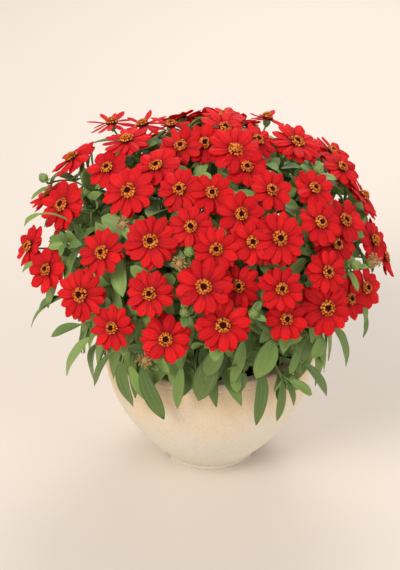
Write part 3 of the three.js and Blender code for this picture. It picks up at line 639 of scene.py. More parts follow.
for bloom in blooms:
    underside = 0.3 * bloom["cup"] * bloom["radius"] + 0.0004
    foot = bloom["place"] + bloom["normal"] * (underside - seat_gap)
    add_stalk(foot, bloom["normal"], bloom["id"], "bloom")
for i, head in enumerate(heads):
    place = on_dome(head["x"], head["y"], head["back"])
    add_stalk(place, facing(place, dome_middle, 12, drawn(-14, 14, i, 7), 0.2), None, head["kind"])

lower_runs = [(np.array(stalk["root"]), np.array(stalk["bend"])) for stalk in stalks]
upper_runs = [(np.array(stalk["bend"]), np.array(stalk["foot"])) for stalk in stalks]
stalk_plants = np.array([stalk["plant"] for stalk in stalks])


def distances(point, runs):
    start = np.array([run[0] for run in runs])
    way = np.array([run[1] for run in runs]) - start
    share = np.einsum("ij,ij->i", np.array(point) - start, way) / np.einsum("ij,ij->i", way, way)
    return np.linalg.norm(start + way * np.clip(share, 0, 1)[:, None] - np.array(point), axis=1)


def clear_of_stalks(point, plant):
    others = stalk_plants != plant
    lower, upper = distances(point, lower_runs)[others], distances(point, upper_runs)[others]
    return lower.min() > thick_stalk_clear and upper.min() > thin_stalk_clear


def unit(vectors):
    return vectors / np.linalg.norm(vectors, axis=-1, keepdims=True)


def bent_line(root, bend, tip, t):
    """Points and directions of a line that leaves the root towards the bend and ends at the tip."""
    root, bend, tip, t = np.array(root), np.array(bend), np.array(tip), np.asarray(t, float)[:, None]
    points = root * (1 - t) ** 2 + bend * 2 * t * (1 - t) + tip * t**2
    return points, unit((bend - root) * (1 - t) + (tip - bend) * t)


def add_stem(stock, points, radii, sides, finish):
    """A round stem through points, closed at both ends."""
    points = np.array(points, float)
    ways = unit(np.gradient(points, axis=0))
    side = np.array([0.31, 0.87, 0.11])
    rings = []
    for point, way, radius in zip(points, ways, radii):
        side = unit(side - way * side.dot(way))
        turns = np.linspace(0, 2 * math.pi, sides, endpoint=False)[:, None]
        rings.append(point + radius * (np.cos(turns) * side + np.sin(turns) * np.cross(way, side)))
    count = len(points)
    along = np.repeat(np.linspace(0, 1, count), sides)
    first = stock.add_points(np.concatenate(rings), np.stack([np.full(count * sides, 0.5), along], axis=-1))
    stock.add_faces(first + grid_faces(count, sides, count - 1, sides), finish)
    fan = np.array([[0, k + 1, k] for k in range(1, sides - 1)])
    stock.add_faces(first + fan, finish)
    stock.add_faces(first + (count - 1) * sides + fan[:, ::-1], finish)


def add_sheet(stock, top, thick, blade, finish_top, finish_under):
    """A thin closed sheet from a grid of points along and across it, seen from its upper face."""
    rows, columns = top.shape[:2]
    normals = unit(np.cross(np.gradient(top, axis=1), np.gradient(top, axis=0)))
    first = stock.add_points(top, blade)
    under = stock.add_points(top - normals * thick, blade) - first
    face = grid_faces(rows, columns, rows - 1, columns - 1)
    stock.add_faces(first + face, finish_top)
    stock.add_faces(first + under + face[:, ::-1], finish_under)
    along, across = np.arange(rows), np.arange(columns)
    border = np.concatenate([across, along[1:] * columns + columns - 1,
                             (rows - 1) * columns + across[::-1][1:], along[::-1][1:-1] * columns])
    after = np.roll(border, -1)
    stock.add_faces(first + np.stack([after, border, border + under, after + under], axis=-1), finish_under)


# Tissue of leaves, petals and scales: ribs that run along the blade, a fine net between them,
# and a tint of its own for each blade. The blade map counts blades across and runs from root to tip.
tissue, given, result = new_group("ribbed_tissue", ("Rib count", "Rib width", "Net size"),
                                  ("Ribs", "Tint", "Along", "Edge", "Relief"))
blade_map = node(tissue, "ShaderNodeUVMap", uv_map="blade").outputs[0]
split = node(tissue, "ShaderNodeSeparateXYZ", in_0=blade_map)
across = math_node(tissue, "FRACT", split.outputs[0])
own_number = math_node(tissue, "FLOOR", split.outputs[0])
from_rib = math_node(tissue, "PINGPONG", math_node(tissue, "MULTIPLY", across, given["Rib count"]), 0.5)
ribs = math_node(tissue, "SUBTRACT", 1.0, math_node(tissue, "DIVIDE", from_rib, given["Rib width"]), clamp=True)
net_scale = math_node(tissue, "DIVIDE", 1.0, given["Net size"])
position = tissue.nodes.new("ShaderNodeNewGeometry").outputs["Position"]
cells = node(tissue, "ShaderNodeTexVoronoi", feature="DISTANCE_TO_EDGE", in_0=position, in_2=net_scale)
net = math_node(tissue, "SUBTRACT", 1.0, math_node(tissue, "MULTIPLY", cells.outputs[0], 9.0), clamp=True)
tint = node(tissue, "ShaderNodeTexWhiteNoise", noise_dimensions="1D", in_1=own_number).outputs[0]
relief = math_node(tissue, "ADD", ribs, math_node(tissue, "MULTIPLY", net, 0.18))
from_middle = math_node(tissue, "ABSOLUTE", math_node(tissue, "SUBTRACT", across, 0.5))
rim_share = math_node(tissue, "SUBTRACT", from_middle, 0.27, clamp=True)
edge_share = math_node(tissue, "MULTIPLY", rim_share, 7.0, clamp=True)
put_out = {"Ribs": ribs, "Tint": tint, "Along": split.outputs[1], "Edge": edge_share, "Relief": relief}
for socket, value in put_out.items():
    tissue.links.new(value, result[socket])


def tissue_finish(name, roughness, ribs, net, tints, rib_tint, rib_share, depth, sockets=(), coat=None):
    """A leaf or petal finish: two tints, ribs of a count and width, their relief in metres and a last coat."""
    material, tree, shader = new_finish(name, roughness)
    for socket, value in dict(sockets).items():
        shader.inputs[socket].default_value = value
    parts = placed(tree, tissue, rib_count=ribs[0], rib_width=ribs[1], net_size=net)
    own = mix_colours(tree, parts["Tint"], *tints)
    veined = mix_colours(tree, math_node(tree, "MULTIPLY", parts["Ribs"], rib_share), own, rib_tint)
    tree.links.new(coat(tree, parts, veined) if coat else veined, shader.inputs["Base Color"])
    add_relief(tree, shader, parts["Relief"], 0.5, depth, invert=True)
    return material


def yellow_tips(tree, parts, below):
    share = math_node(tree, "MULTIPLY", math_node(tree, "POWER", parts["Along"], 3.0), 0.25)
    return mix_colours(tree, share, below, colour(150, 168, 76))


leaf_upper = tissue_finish(
    "leaf_upper", 0.5, ribs=(4, 0.07), net=0.0016, tints=(colour(78, 106, 46), colour(134, 162, 78)),
    rib_tint=colour(166, 184, 116), rib_share=0.38, depth=0.0003, coat=yellow_tips)
leaf_under = tissue_finish(
    "leaf_under", 0.62, ribs=(4, 0.10), net=0.0016, tints=(colour(112, 134, 76), colour(146, 164, 98)),
    rib_tint=colour(172, 184, 124), rib_share=0.6, depth=0.0005)
green_stem = tissue_finish(
    "green_stem", 0.6, ribs=(7, 0.2), net=0.002, tints=(colour(104, 126, 58), colour(130, 150, 78)),
    rib_tint=colour(88, 100, 48), rib_share=0.3, depth=0.0002)
bud_scale = tissue_finish(
    "bud_scale", 0.55, ribs=(5, 0.12), net=0.0012, tints=(colour(124, 146, 74), colour(158, 174, 100)),
    rib_tint=colour(82, 98, 48), rib_share=0.3, depth=0.0002)
dry_floret = tissue_finish(
    "dry_floret", 0.85, ribs=(5, 0.2), net=0.001, tints=(colour(118, 76, 42), colour(212, 172, 112)),
    rib_tint=colour(70, 42, 26), rib_share=0.5, depth=0.0002)
plant_finishes = [leaf_upper, leaf_under, green_stem, bud_scale, dry_floret]
upper_face, under_face, stem_skin, scale_skin, dry_skin = range(5)

# Stems, cups, buds and dried heads: each plant's woody stem, its thinner branches and green stalks,
# with what each stalk carries, wrapped in overlapping scales.
calyx_radius, scale_thick, thin_stem, thick_stem = 0.0046, 0.0003, 0.0011, 0.0017
main_stem_radii = [0.0045, 0.0044, 0.0041, 0.0039, 0.0040, 0.0037, 0.0036, 0.0034]
head_forms = {
    "bloom": dict(
        skin=scale_skin, scale=0.0044, heights=(-0.0095, -0.0078, -0.0055, -0.003, -0.0008, 0.0002),
        radii=[calyx_radius * share for share in (0.28, 0.55, 0.88, 1.0, 0.98, 0.9)],
        rows=[(calyx_radius * 0.80, -0.0068, 0.22, 7), (calyx_radius * 0.98, -0.0045, 0.10, 8)]),
    "bud": dict(
        skin=stem_skin, scale=0.0046, heights=(-0.001, 0.001, 0.003, 0.0055, 0.008, 0.010, 0.0108),
        radii=(0.0012, 0.0032, 0.0044, 0.0047, 0.0039, 0.0022, 0.0009),
        rows=[(0.0038, 0.0004, 0.36, 7), (0.0054, 0.0024, 0.10, 7), (0.0054, 0.0046, -0.26, 7),
              (0.0038, 0.0068, -0.4, 5)]),
    "spent": dict(
        skin=dry_skin, scale=0.0046, heights=(-0.001, 0.001, 0.003, 0.0055, 0.008, 0.0102, 0.0116),
        radii=(0.0012, 0.0036, 0.0052, 0.0054, 0.0046, 0.0030, 0.0010),
        rows=[(0.0044, 0.0004, 0.32, 7), (0.0058, 0.0022, 0.06, 8)]),
}
plant_stocks = [Stock() for _ in range(plants)]
blade_numbers = itertools.count(1)


def add_branch(plant, end, radius):
    """A bent branch from the head of the plant's main stem."""
    crown = at_angle(stem_foot, plant_angle(plant), crown_height - 0.004)
    middle = crown.lerp(end, 0.5) + at_angle(0.010, plant_angle(plant), -0.012)
    line = bent_line(crown, middle, end, np.linspace(0, 1, 6))[0]
    add_stem(plant_stocks[plant], line, np.linspace(1.5 * radius, radius, 6), 6, stem_skin)


def swung(x, y, turn):
    """Both coordinates after a turn round the third axis."""
    return x * math.cos(turn) - y * math.sin(turn), x * math.sin(turn) + y * math.cos(turn)


def add_scales(stock, rows, size, finish):
    """Overlapping scales round an axis: each row gives its radius, its height, its lean outward and its count."""
    t, s = np.meshgrid(np.linspace(0, 1, 4), np.linspace(1, -1, 3), indexing="ij")
    for number, (radius, height, lean, count) in enumerate(rows):
        for k in range(count):
            turn = 2 * math.pi * (k + 0.5 * (number % 2)) / count
            out = radius + lean * t * size - 0.1 * size * s**2
            side = s * (size * 0.42 * (1 - t**2.4 * 0.92))
            rise = height + t * size * math.sqrt(max(1 - lean * lean, 0.05))
            top = np.stack([*swung(out, side, turn), rise], axis=-1)
            blade = np.stack([next(blade_numbers) + 0.5 + 0.4 * s, t], axis=-1)
            add_sheet(stock, top[::-1], scale_thick, blade[::-1], finish, finish)


def add_remains(stock, number):
    """Pale curled remains that stand out of a dried head."""
    for k in range(19):
        turn, start = k * golden_turn, 0.0030 + 0.0020 * vary(k, number)
        reach = start + drawn(0.002, 0.005, k + 3, number)
        rise = drawn(0.010, 0.0145, k + 7, number)
        bend = between(start, reach, 0.4)
        rings = [(start, 0.0060), (bend, rise), (reach, rise + 0.0005), (reach + 0.0012, rise - 0.0022)]
        curl = [round_point(r, turn + 9 * r, z) for r, z in rings]
        add_stem(stock, curl, [0.0004, 0.0006, 0.0007, 0.0002], 4, dry_skin)


def turn_to(normal):
    return np.array(up.rotation_difference(normal).to_matrix())


def add_head(stock, stalk, number):
    """What a stalk carries: the green cup under a bloom, a bud wrapped in scales, or a dried head."""
    form, head = head_forms[stalk["kind"]], Stock()
    add_stem(head, [(0, 0, z) for z in form["heights"]], form["radii"], 12, form["skin"])
    add_scales(head, form["rows"], form["scale"], scale_skin)
    if stalk["kind"] == "spent":
        add_remains(head, number)
    stock.absorb(head, turn_to(stalk["normal"]), np.array(stalk["foot"]))


for plant, stock in enumerate(plant_stocks):
    foot = at_angle(stem_foot, plant_angle(plant), soil_level - stem_depth + seat_gap)
    crown = at_angle(stem_foot, plant_angle(plant), crown_height)
    line = [foot.lerp(crown, k / 7) + at_angle(0.0012 * math.sin(2.2 * k), k, 0) for k in range(8)]
    add_stem(stock, line, main_stem_radii, 12, stem_skin)

for number, stalk in enumerate(stalks):
    stock = plant_stocks[stalk["plant"]]
    foot, bend, root = stalk["foot"], stalk["bend"], stalk["root"]
    turning = bend.lerp(root, min(0.3, 0.02 / (bend - root).length))
    neck = foot - stalk["normal"] * 0.004
    rise = [tuple(turning.lerp(root, share)) for share in (1, 0.66, 0.33)]
    curve = bent_line(turning, bend, neck, np.linspace(0, 1, 8))[0]
    path = [*rise, *curve, tuple(foot)]
    radii = np.interp(np.arange(len(path)), [0, 3, 9, 11], [thick_stem, 0.0012, thin_stem, thick_stem])
    add_stem(stock, path, radii, 7, stem_skin)
    add_branch(stalk["plant"], root, thick_stem)
    if stalk["kind"] in head_forms:
        add_head(stock, stalk, number)

# Leaves: lance-shaped with three long ribs, mid green, a little folded and drooping, in opposite pairs.
# The fringe over the rim is placed leaf by leaf as seen, and the far side and the inside by a rule.
leaf_thick, core_leaves, sector_edge = 0.0005, 34, 0.0015
leaf_bloom_clear, rim_clear_up, rim_clear_out = 0.0011, 0.004, 0.003
swing_tries, swing_step = 11, math.radians(2.2)
back_fringe, fringe_from, fringe_to = 17, 100, 260
collar_leaves, short_from, short_to = 84, -84, -52
shoots, shoot_low, shoot_high, shoot_length = 130, -0.62, 0.96, 0.055
fringe = [
    dict(x=78, y=330, tip_x=59, tip_y=366, wide=14, root=186, tip=190),
    dict(x=76, y=322, tip_x=48, tip_y=333, wide=11, root=186, tip=205),
    dict(x=70, y=306, tip_x=44, tip_y=320, wide=10, root=186, tip=204),
    dict(x=66, y=300, tip_x=32, tip_y=331, wide=6, root=186, tip=212),
    dict(x=84, y=332, tip_x=82, tip_y=354, wide=8, root=180, tip=178),
    dict(x=95, y=345, tip_x=94, tip_y=381, wide=13, root=172, tip=168),
    dict(x=112, y=352, tip_x=94, tip_y=386, wide=10, root=172, tip=176),
    dict(x=122, y=362, tip_x=133, tip_y=407, wide=18, root=165, tip=152),
    dict(x=142, y=368, tip_x=164, tip_y=419, wide=19, root=162, tip=150),
    dict(x=130, y=366, tip_x=151, tip_y=402, wide=14, root=160, tip=158),
    dict(x=182, y=368, tip_x=177, tip_y=409, wide=12, root=160, tip=152),
    dict(x=214, y=352, tip_x=198, tip_y=401, wide=24, root=164, tip=150),
    dict(x=196, y=370, tip_x=200, tip_y=399, wide=9, root=158, tip=150),
    dict(x=222, y=346, tip_x=205, tip_y=376, wide=18, root=166, tip=164),
    dict(x=243, y=340, tip_x=232, tip_y=384, wide=13, root=166, tip=164),
    dict(x=244, y=372, tip_x=237, tip_y=393, wide=11, root=158, tip=152),
    dict(x=272, y=340, tip_x=256, tip_y=379, wide=23, root=166, tip=170),
    dict(x=261, y=372, tip_x=256, tip_y=425, wide=15, root=158, tip=154),
    dict(x=281, y=379, tip_x=277, tip_y=421, wide=11, root=160, tip=156),
    dict(x=289, y=380, tip_x=312, tip_y=395, wide=11, root=162, tip=172),
    dict(x=287, y=383, tip_x=294, tip_y=406, wide=8, root=161, tip=160),
    dict(x=296, y=350, tip_x=290, tip_y=374, wide=10, root=166, tip=172),
    dict(x=303, y=363, tip_x=327, tip_y=396, wide=12, root=166, tip=174),
    dict(x=308, y=340, tip_x=299, tip_y=378, wide=16, root=160, tip=160),
    dict(x=334, y=328, tip_x=346, tip_y=366, wide=15, root=176, tip=184),
    dict(x=322, y=338, tip_x=312, tip_y=358, wide=16, root=172, tip=176),
    dict(x=352, y=308, tip_x=356, tip_y=338, wide=14, root=186, tip=192),
    dict(x=366, y=314, tip_x=363, tip_y=338, wide=6, root=190, tip=194),
    dict(x=40, y=262, tip_x=22, tip_y=272, wide=9, root=196, tip=214),
    dict(x=40, y=214, tip_x=24, tip_y=226, wide=8, root=196, tip=212),
]


def leaf_fits(leaf, plant, keep_apart=True):
    """Room test for a leaf: its rib and both edges."""
    t = np.arange(2, 15) / 14
    points, ways = bent_line(leaf["root"], leaf["bend"], leaf["tip"], t)
    across = unit(np.cross(ways, np.array(leaf["face"])))
    normal = np.cross(across, ways)
    half = 0.5 * leaf["wide"] * np.sin(math.pi * (0.15 + 0.85 * t))
    for point, side, rise, reach in zip(points, across, normal, half):
        for out in (-reach, 0, reach):
            spot = point + side * out + rise * 0.3 * abs(out)
            if spot[2] <= pot_height + rim_clear_up and math.hypot(spot[0], spot[1]) <= rim_radius + rim_clear_out:
                return False
            if not clear_of_blooms(spot, None, leaf_bloom_clear):
                return False
            if keep_apart and not (inside_sector(spot, plant, sector_edge) and clear_of_stalks(spot, plant)):
                return False
    return True


def blade_width(t, widest):
    """Width of a leaf along its length, as a share of its greatest width."""
    swell = np.sin(0.5 * math.pi * np.minimum(t / widest, 1)) ** 0.85
    taper = np.maximum((t - widest) / (1 - widest), 0)
    return (0.16 + 0.84 * swell) * (1 - taper**2.9) + 0.012


def add_leaf(stock, leaf, rows, columns):
    """A leaf blade, folded and waved along three grooves, with its footstalk or the branch that holds it."""
    item, wide, root = next(blade_numbers), leaf["wide"], leaf["root"]
    t, s = np.linspace(0, 1, rows)[:, None], np.linspace(-1, 1, columns)
    points, ways = bent_line(root, leaf["bend"], leaf["tip"], t[:, 0])
    across = unit(np.cross(ways, np.array(leaf["face"])))
    normal = np.cross(across, ways)
    share = blade_width(t, drawn(0.40, 0.58, item, 31))
    out = 0.5 * wide * share * s
    fold = wide * share * drawn(0.07, 0.17, item, 32) * np.abs(s) ** 1.3
    wave = wide * 0.035 * s**2 * np.sign(s) * np.sin(9 * t + 6 * vary(item, 33) + s)
    grooves = np.exp(-((np.abs(s) - 0.5) / 0.14) ** 2) + 1.3 * np.exp(-(s / 0.1) ** 2)
    rise = fold + wave - 0.00035 * grooves * np.sin(math.pi * t) ** 0.5
    top = points[:, None, :] + out[..., None] * across[:, None, :] + rise[..., None] * normal[:, None, :]
    blade = np.stack([item + 0.5 + 0.4 * s + 0 * out, t + 0 * out], axis=-1)
    add_sheet(stock, top, leaf_thick, blade, upper_face, under_face)
    if "start" in leaf:
        start = leaf["start"]
        bend = root - Vector(ways[0]) * 0.3 * (root - start).length
        line = bent_line(start, bend, root, np.linspace(0, 1, 9))[0]
        add_stem(stock, line, np.linspace(0.0015, thin_stem, 9), 6, stem_skin)
        add_branch(plant_of(root), start, 0.0015)
    elif "joined" not in leaf:
        add_branch(plant_of(root), root, thin_stem)


def add_fringe_leaf(root, tip, wide):
    """A leaf of the fringe on its footstalk; a blocked one swings sideways."""
    for i in range(swing_tries):
        swing = (1 if i % 2 == 0 else -1) * math.ceil(i / 2) * swing_step
        turned_root, turned_tip = root.copy(), tip.copy()
        for end in (turned_root, turned_tip):
            end.xy = swung(end.x, end.y, swing)
        plant = plant_of(turned_root)
        outward = Vector((turned_root.x, turned_root.y, 0)).normalized()
        length = (turned_tip - turned_root).length
        bend = turned_root.lerp(turned_tip, 0.42) + outward * 0.16 * length + up * 0.12 * length
        face = (outward + up * 0.9).normalized()
        leaf = dict(root=turned_root, bend=bend, tip=turned_tip, face=face, wide=wide)
        if leaf_fits(leaf, plant):
            start = turned_root * 0.6
            start.z = between(turned_root.z, 0.236, 0.6)
            leaf["start"] = start + at_angle(0.002, plant_angle(plant), 0)
            add_leaf(plant_stocks[plant], leaf, 17, 9)
            return


for i in range(core_leaves):
    outward = spiral_point(i, core_leaves, -0.35, 0.95)
    root = stretched(outward, dome_radii) * (core_share * 0.9)
    root.z += dome_middle.z
    swing = at_angle(0.75, 2 * math.pi * vary(i, 21), drawn(-0.5, 0.6, i, 22))
    out = (outward + swing).normalized()
    length = drawn(0.052, 0.074, i, 23)
    leaf = dict(root=root, bend=root + out * 0.55 * length + up * 0.006, tip=root + out * length - up * 0.006,
                face=(up + outward * 0.6).normalized(), wide=drawn(0.26, 0.34, i, 24) * length)
    if leaf_fits(leaf, plant_of(root)):
        add_leaf(plant_stocks[plant_of(root)], leaf, 13, 7)

for leaf in fringe:
    reach_root, reach_tip = leaf["root"] * mm, leaf["tip"] * mm
    root = meet(leaf["x"], leaf["y"], Vector(), Vector((reach_root, reach_root, 1e6)))[0]
    tip = meet(leaf["tip_x"], leaf["tip_y"], Vector(), Vector((reach_tip, reach_tip, 1e6)))[0]
    add_fringe_leaf(root, tip, leaf["wide"] * mm)

for i in range(back_fringe):
    turn = between(fringe_from, fringe_to, (i + 0.5) / back_fringe) - 90
    angle = math.radians(turn + drawn(-3, 3, i, 8))
    root = at_angle(drawn(0.162, 0.178, i, 9), angle, drawn(0.222, 0.246, i, 10))
    tip_angle = angle + math.radians(drawn(-7, 7, i, 12))
    tip = at_angle(drawn(0.152, 0.196, i, 13), tip_angle, root.z - drawn(0.045, 0.088, i, 11))
    add_fringe_leaf(root, tip, drawn(0.012, 0.021, i, 14))

for i in range(collar_leaves):
    # Short leaves end inside the rim, and the others arch over it
    angle = 2 * math.pi * (i + 0.6 * vary(i, 91)) / collar_leaves - math.pi
    root = at_angle(drawn(0.088, 0.110, i, 92), angle, drawn(0.208, 0.238, i, 93))
    tip_angle = angle + drawn(-0.2, 0.2, i, 94)
    if i % 3 == 0 or short_from < math.degrees(angle) < short_to:
        tip = at_angle(drawn(0.122, 0.133, i, 95), tip_angle, drawn(0.188, 0.197, i, 96))
        bend = root.lerp(tip, 0.5) + at_angle(0.012, angle, 0.010)
    else:
        tip = at_angle(drawn(0.141, 0.156, i, 95), tip_angle, drawn(0.146, 0.184, i, 96))
        bend = at_angle(0.150, angle, drawn(0.216, 0.228, i, 98))
    face = at_angle(1, angle, 1).normalized()
    leaf = dict(root=root, bend=bend, tip=tip, face=face, wide=drawn(0.014, 0.028, i, 97))
    if leaf_fits(leaf, plant_of(root), keep_apart=False):
        add_leaf(plant_stocks[plant_of(root)], leaf, 15, 7)


def add_pair(plant, joint, stem, side, length, item):
    """Two opposite leaves at a joint of a shoot, as long as there is room for them."""
    for k, way in enumerate((side, -side)):
        for share in (1, 0.78, 0.6):
            reach = length * share
            out = (way * 0.85 + stem * drawn(0.15, 0.75, item, 41 + k)).normalized()
            sag = up * reach * drawn(0.02, 0.22, item, 43 + k)
            bend, tip = joint + out * 0.5 * reach + stem * 0.10 * reach, joint + out * reach - sag
            face = (stem + up * 0.35).normalized()
            wide = reach * drawn(0.34, 0.46, item, 45 + k)
            leaf = dict(root=joint, bend=bend, tip=tip, face=face, wide=wide, joined=True)
            if leaf_fits(leaf, plant, keep_apart=False):
                add_leaf(plant_stocks[plant], leaf, 10, 5)
                break


def add_pairs(plant, end, stem, turn_item, steps):
    """Pairs of leaves down a shoot, each at right angles to the last: how far back, how long and its item."""
    level = stem.cross(up).normalized() if abs(stem.z) < 0.98 else Vector((1, 0, 0))
    turn = math.pi * vary(turn_item, 47)
    side = level * math.cos(turn) + stem.cross(level) * math.sin(turn)
    for back, length, item in steps:
        add_pair(plant, end - stem * back, stem, side, length, item)
        side = stem.cross(side)


for number, stalk in enumerate(stalks):
    stem, run = (stalk["bend"] - stalk["root"]).normalized(), (stalk["bend"] - stalk["root"]).length
    add_pairs(stalk["plant"], stalk["bend"], stem, number,
              [(min(back + 0.010 * vary(number, 48), run), drawn(0.030, 0.046, number, 49 + step), number * 2 + step)
               for step, back in enumerate((0.010, 0.034))])

for i in range(shoots):
    outward = spiral_point(i, shoots, shoot_low, shoot_high)
    tip = stretched(outward, dome_radii) * drawn(0.76, 0.90, i, 51)
    tip.z += dome_middle.z
    if tip.z < pot_height + 0.012:
        continue
    plant = plant_of(tip)
    stem = stretched(outward, dome_radii).normalized()
    root = tip - stem * shoot_length
    add_stem(plant_stocks[plant], [root, root.lerp(tip, 0.5), tip], [0.0014, 0.0012, 0.0009], 5, stem_skin)
    add_branch(plant, root, 0.0014)
    add_pairs(plant, tip, stem, i + 300,
              [(back, drawn(0.024, 0.034, i, 52) + 0.010 * step, 700 + i * 3 + step)
               for step, back in enumerate((0.001, 0.016, 0.036))])

tip_pairs = {
    "tip": ((0.0, 0.016), (0.008, 0.023)),
    "bud": ((0.001, 0.018), (0.009, 0.026)),
    "spent": ((0.005, 0.016),),
}
for i, stalk in enumerate(stalks):
    steps = [(back, length, 1200 + i * 2 + step)
             for step, (back, length) in enumerate(tip_pairs.get(stalk["kind"], ()))]
    add_pairs(stalk["plant"], stalk["foot"], stalk["normal"], i, steps)

for plant, stock in enumerate(plant_stocks):
    plant_name = f"plant_{plant + 1}"
    bush = make_piece(f"leafy_{plant_name}", stock, plant_finishes)
    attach(bush, "root")
    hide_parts(plant_name)

# Blooms: scarlet single heads with eight to thirteen broad petals that overlap, velvety and faintly ribbed.
# A ring of small orange star florets stands round a dark maroon middle.
petal_thick, petal_root, lower_root = 0.0004, 0.17, 0.24
worn_width, worn_spread, wide_bloom = 0.6, 5.5, 0.0262
disc_share, disc_swell, crater_height = 0.27, 0.0010, 0.0025
velvet = {"Specular IOR Level": 0.16, "Subsurface Weight": 0.8, "Subsurface Scale": 0.0015,
          "Subsurface Radius": (1.0, 0.12, 0.1)}


def deep_base_and_painted_shade(tree, parts, below):
    """Petals are darker near the middle of the bloom, partly their own deeper base and partly painted shade, and
    darker along their edges as painted shade between overlapping petals.
    """
    outward = math_node(tree, "MULTIPLY", parts["Along"], 2.2)
    near = math_node(tree, "MULTIPLY", math_node(tree, "SUBTRACT", 1.0, outward, clamp=True), 0.85)
    share = math_node(tree, "MAXIMUM", near, math_node(tree, "MULTIPLY", parts["Edge"], 0.45))
    # Dark red painted shade towards the base and along the edges
    return mix_colours(tree, share, below, colour(112, 2, 10))


# Its darker ribs are partly the veins' own colour and partly painted shade in the petal's grooves
petal_upper = tissue_finish(
    "petal_upper", 0.62, ribs=(5, 0.2), net=0.0009, tints=(colour(196, 6, 16), colour(230, 22, 24)),
    rib_tint=colour(156, 2, 12), rib_share=0.38, depth=0.00014, sockets=velvet, coat=deep_base_and_painted_shade)
petal_under = tissue_finish(
    "petal_under", 0.66, ribs=(5, 0.2), net=0.0009, tints=(colour(210, 26, 32), colour(228, 50, 48)),
    rib_tint=colour(176, 14, 26), rib_share=0.4, depth=0.00015, sockets=velvet)
star_floret = tissue_finish(
    "star_floret", 0.6, ribs=(3, 0.2), net=0.001, tints=(colour(232, 98, 26), colour(252, 158, 56)),
    rib_tint=colour(180, 54, 16), rib_share=0.35, depth=0.0001, sockets={"Specular IOR Level": 0.25})
dark_middle = tissue_finish(
    "dark_middle", 0.7, ribs=(3, 0.2), net=0.0006, tints=(colour(40, 6, 6), colour(74, 16, 12)),
    rib_tint=colour(24, 4, 4), rib_share=0.4, depth=0.0002, sockets={"Specular IOR Level": 0.15})
bloom_finishes = [petal_upper, petal_under, star_floret, dark_middle]
petal_face, petal_back, floret_skin, middle_skin = range(4)


def add_petal(stock, item, turn, base, reach, width, lift, droop, level, rows=11, columns=9):
    """One petal: an oblong blade with a blunt notched tip, two long grooves and edges that turn down."""
    t = np.sin(np.linspace(0, 0.5 * math.pi * 0.98, rows))[:, None]
    s = np.linspace(1, -1, columns)
    broad = np.clip(t / 0.52, 0, 1)
    shoulder = np.maximum((t - 0.58) / 0.42, 0)
    blunt = np.sqrt(1 - drawn(0.72, 0.9, item, 66) * shoulder**2.4)
    share = (0.36 + 0.64 * broad**2 * (3 - 2 * broad)) * blunt
    long = reach - base
    corner = 0.10 * s**2 * t**6
    notch = 0.05 * vary(item, 61) * np.exp(-((s / 0.24) ** 2)) + 0.03 * vary(item, 67) * np.cos(5 * s)
    x = base + long * (t - corner - notch * t**9) + 0.05 * long * (vary(item, 62) - 0.5) * s * t
    y = 0.5 * width * share * s
    arch = width * drawn(0.03, 0.17, item, 63) * s**2 * share
    ridge = np.sin(math.pi * np.clip(t, 0, 1)) ** 0.6
    two_grooves = 0.0010 * np.exp(-(((np.abs(s) - 0.42) / 0.17) ** 2)) * ridge
    grooves = two_grooves - 0.0003 * np.exp(-((s / 0.2) ** 2)) * ridge
    curl = droop * long * t**2 + 0.10 * long * (vary(item, 64) - 0.35) * t**4
    z = level + lift * (x - base) - curl - arch - grooves + y * drawn(0.05, 0.20, item, 65)
    blade = np.stack([next(blade_numbers) + 0.5 + 0.4 * s + 0 * t, t + 0 * s], axis=-1)
    add_sheet(stock, np.stack([*swung(x, y, turn), z], axis=-1), petal_thick, blade, petal_face, petal_back)


def add_floret(stock, item, place, lean, turn, size):
    """A small open star with five pointed lobes on a short tube."""
    spin, fifth = 2 * math.pi * vary(item, 71), 0.4 * math.pi
    points = [round_point(r * size, spin + k * fifth, z * size) for r, z in ((0.34, -0.9), (0.40, 0.0))
              for k in range(5)]
    for k in range(5):
        points.append(round_point(size, spin + k * fifth, drawn(0.2, 0.55, item, 72) * size))
        points.append(round_point(0.42 * size, spin + (k + 0.5) * fifth, 0.18 * size))
    points.append((0, 0, -0.15 * size))
    faces = []
    for k in range(5):
        after = (k + 1) % 5
        tip, gap, gap_before = 10 + 2 * k, 11 + 2 * k, 11 + 2 * ((k + 4) % 5)
        faces += [[k, after, 5 + after], [k, 5 + after, 5 + k], [5 + k, 5 + after, gap], [5 + k, gap, tip],
                  [5 + k, tip, gap_before], [tip, gap, 20], [gap_before, tip, 20]]
    faces += [[0, 2, 1], [0, 3, 2], [0, 4, 3]]
    x, y, z = np.array(points).T
    z, x = swung(z, x, lean)
    x, y = swung(x, y, turn)
    blade = np.tile([next(blade_numbers) + 0.5, 0.5], (len(points), 1))
    stock.add_faces(stock.add_points(np.stack([x, y, z], axis=-1) + place, blade) + np.array(faces), floret_skin)


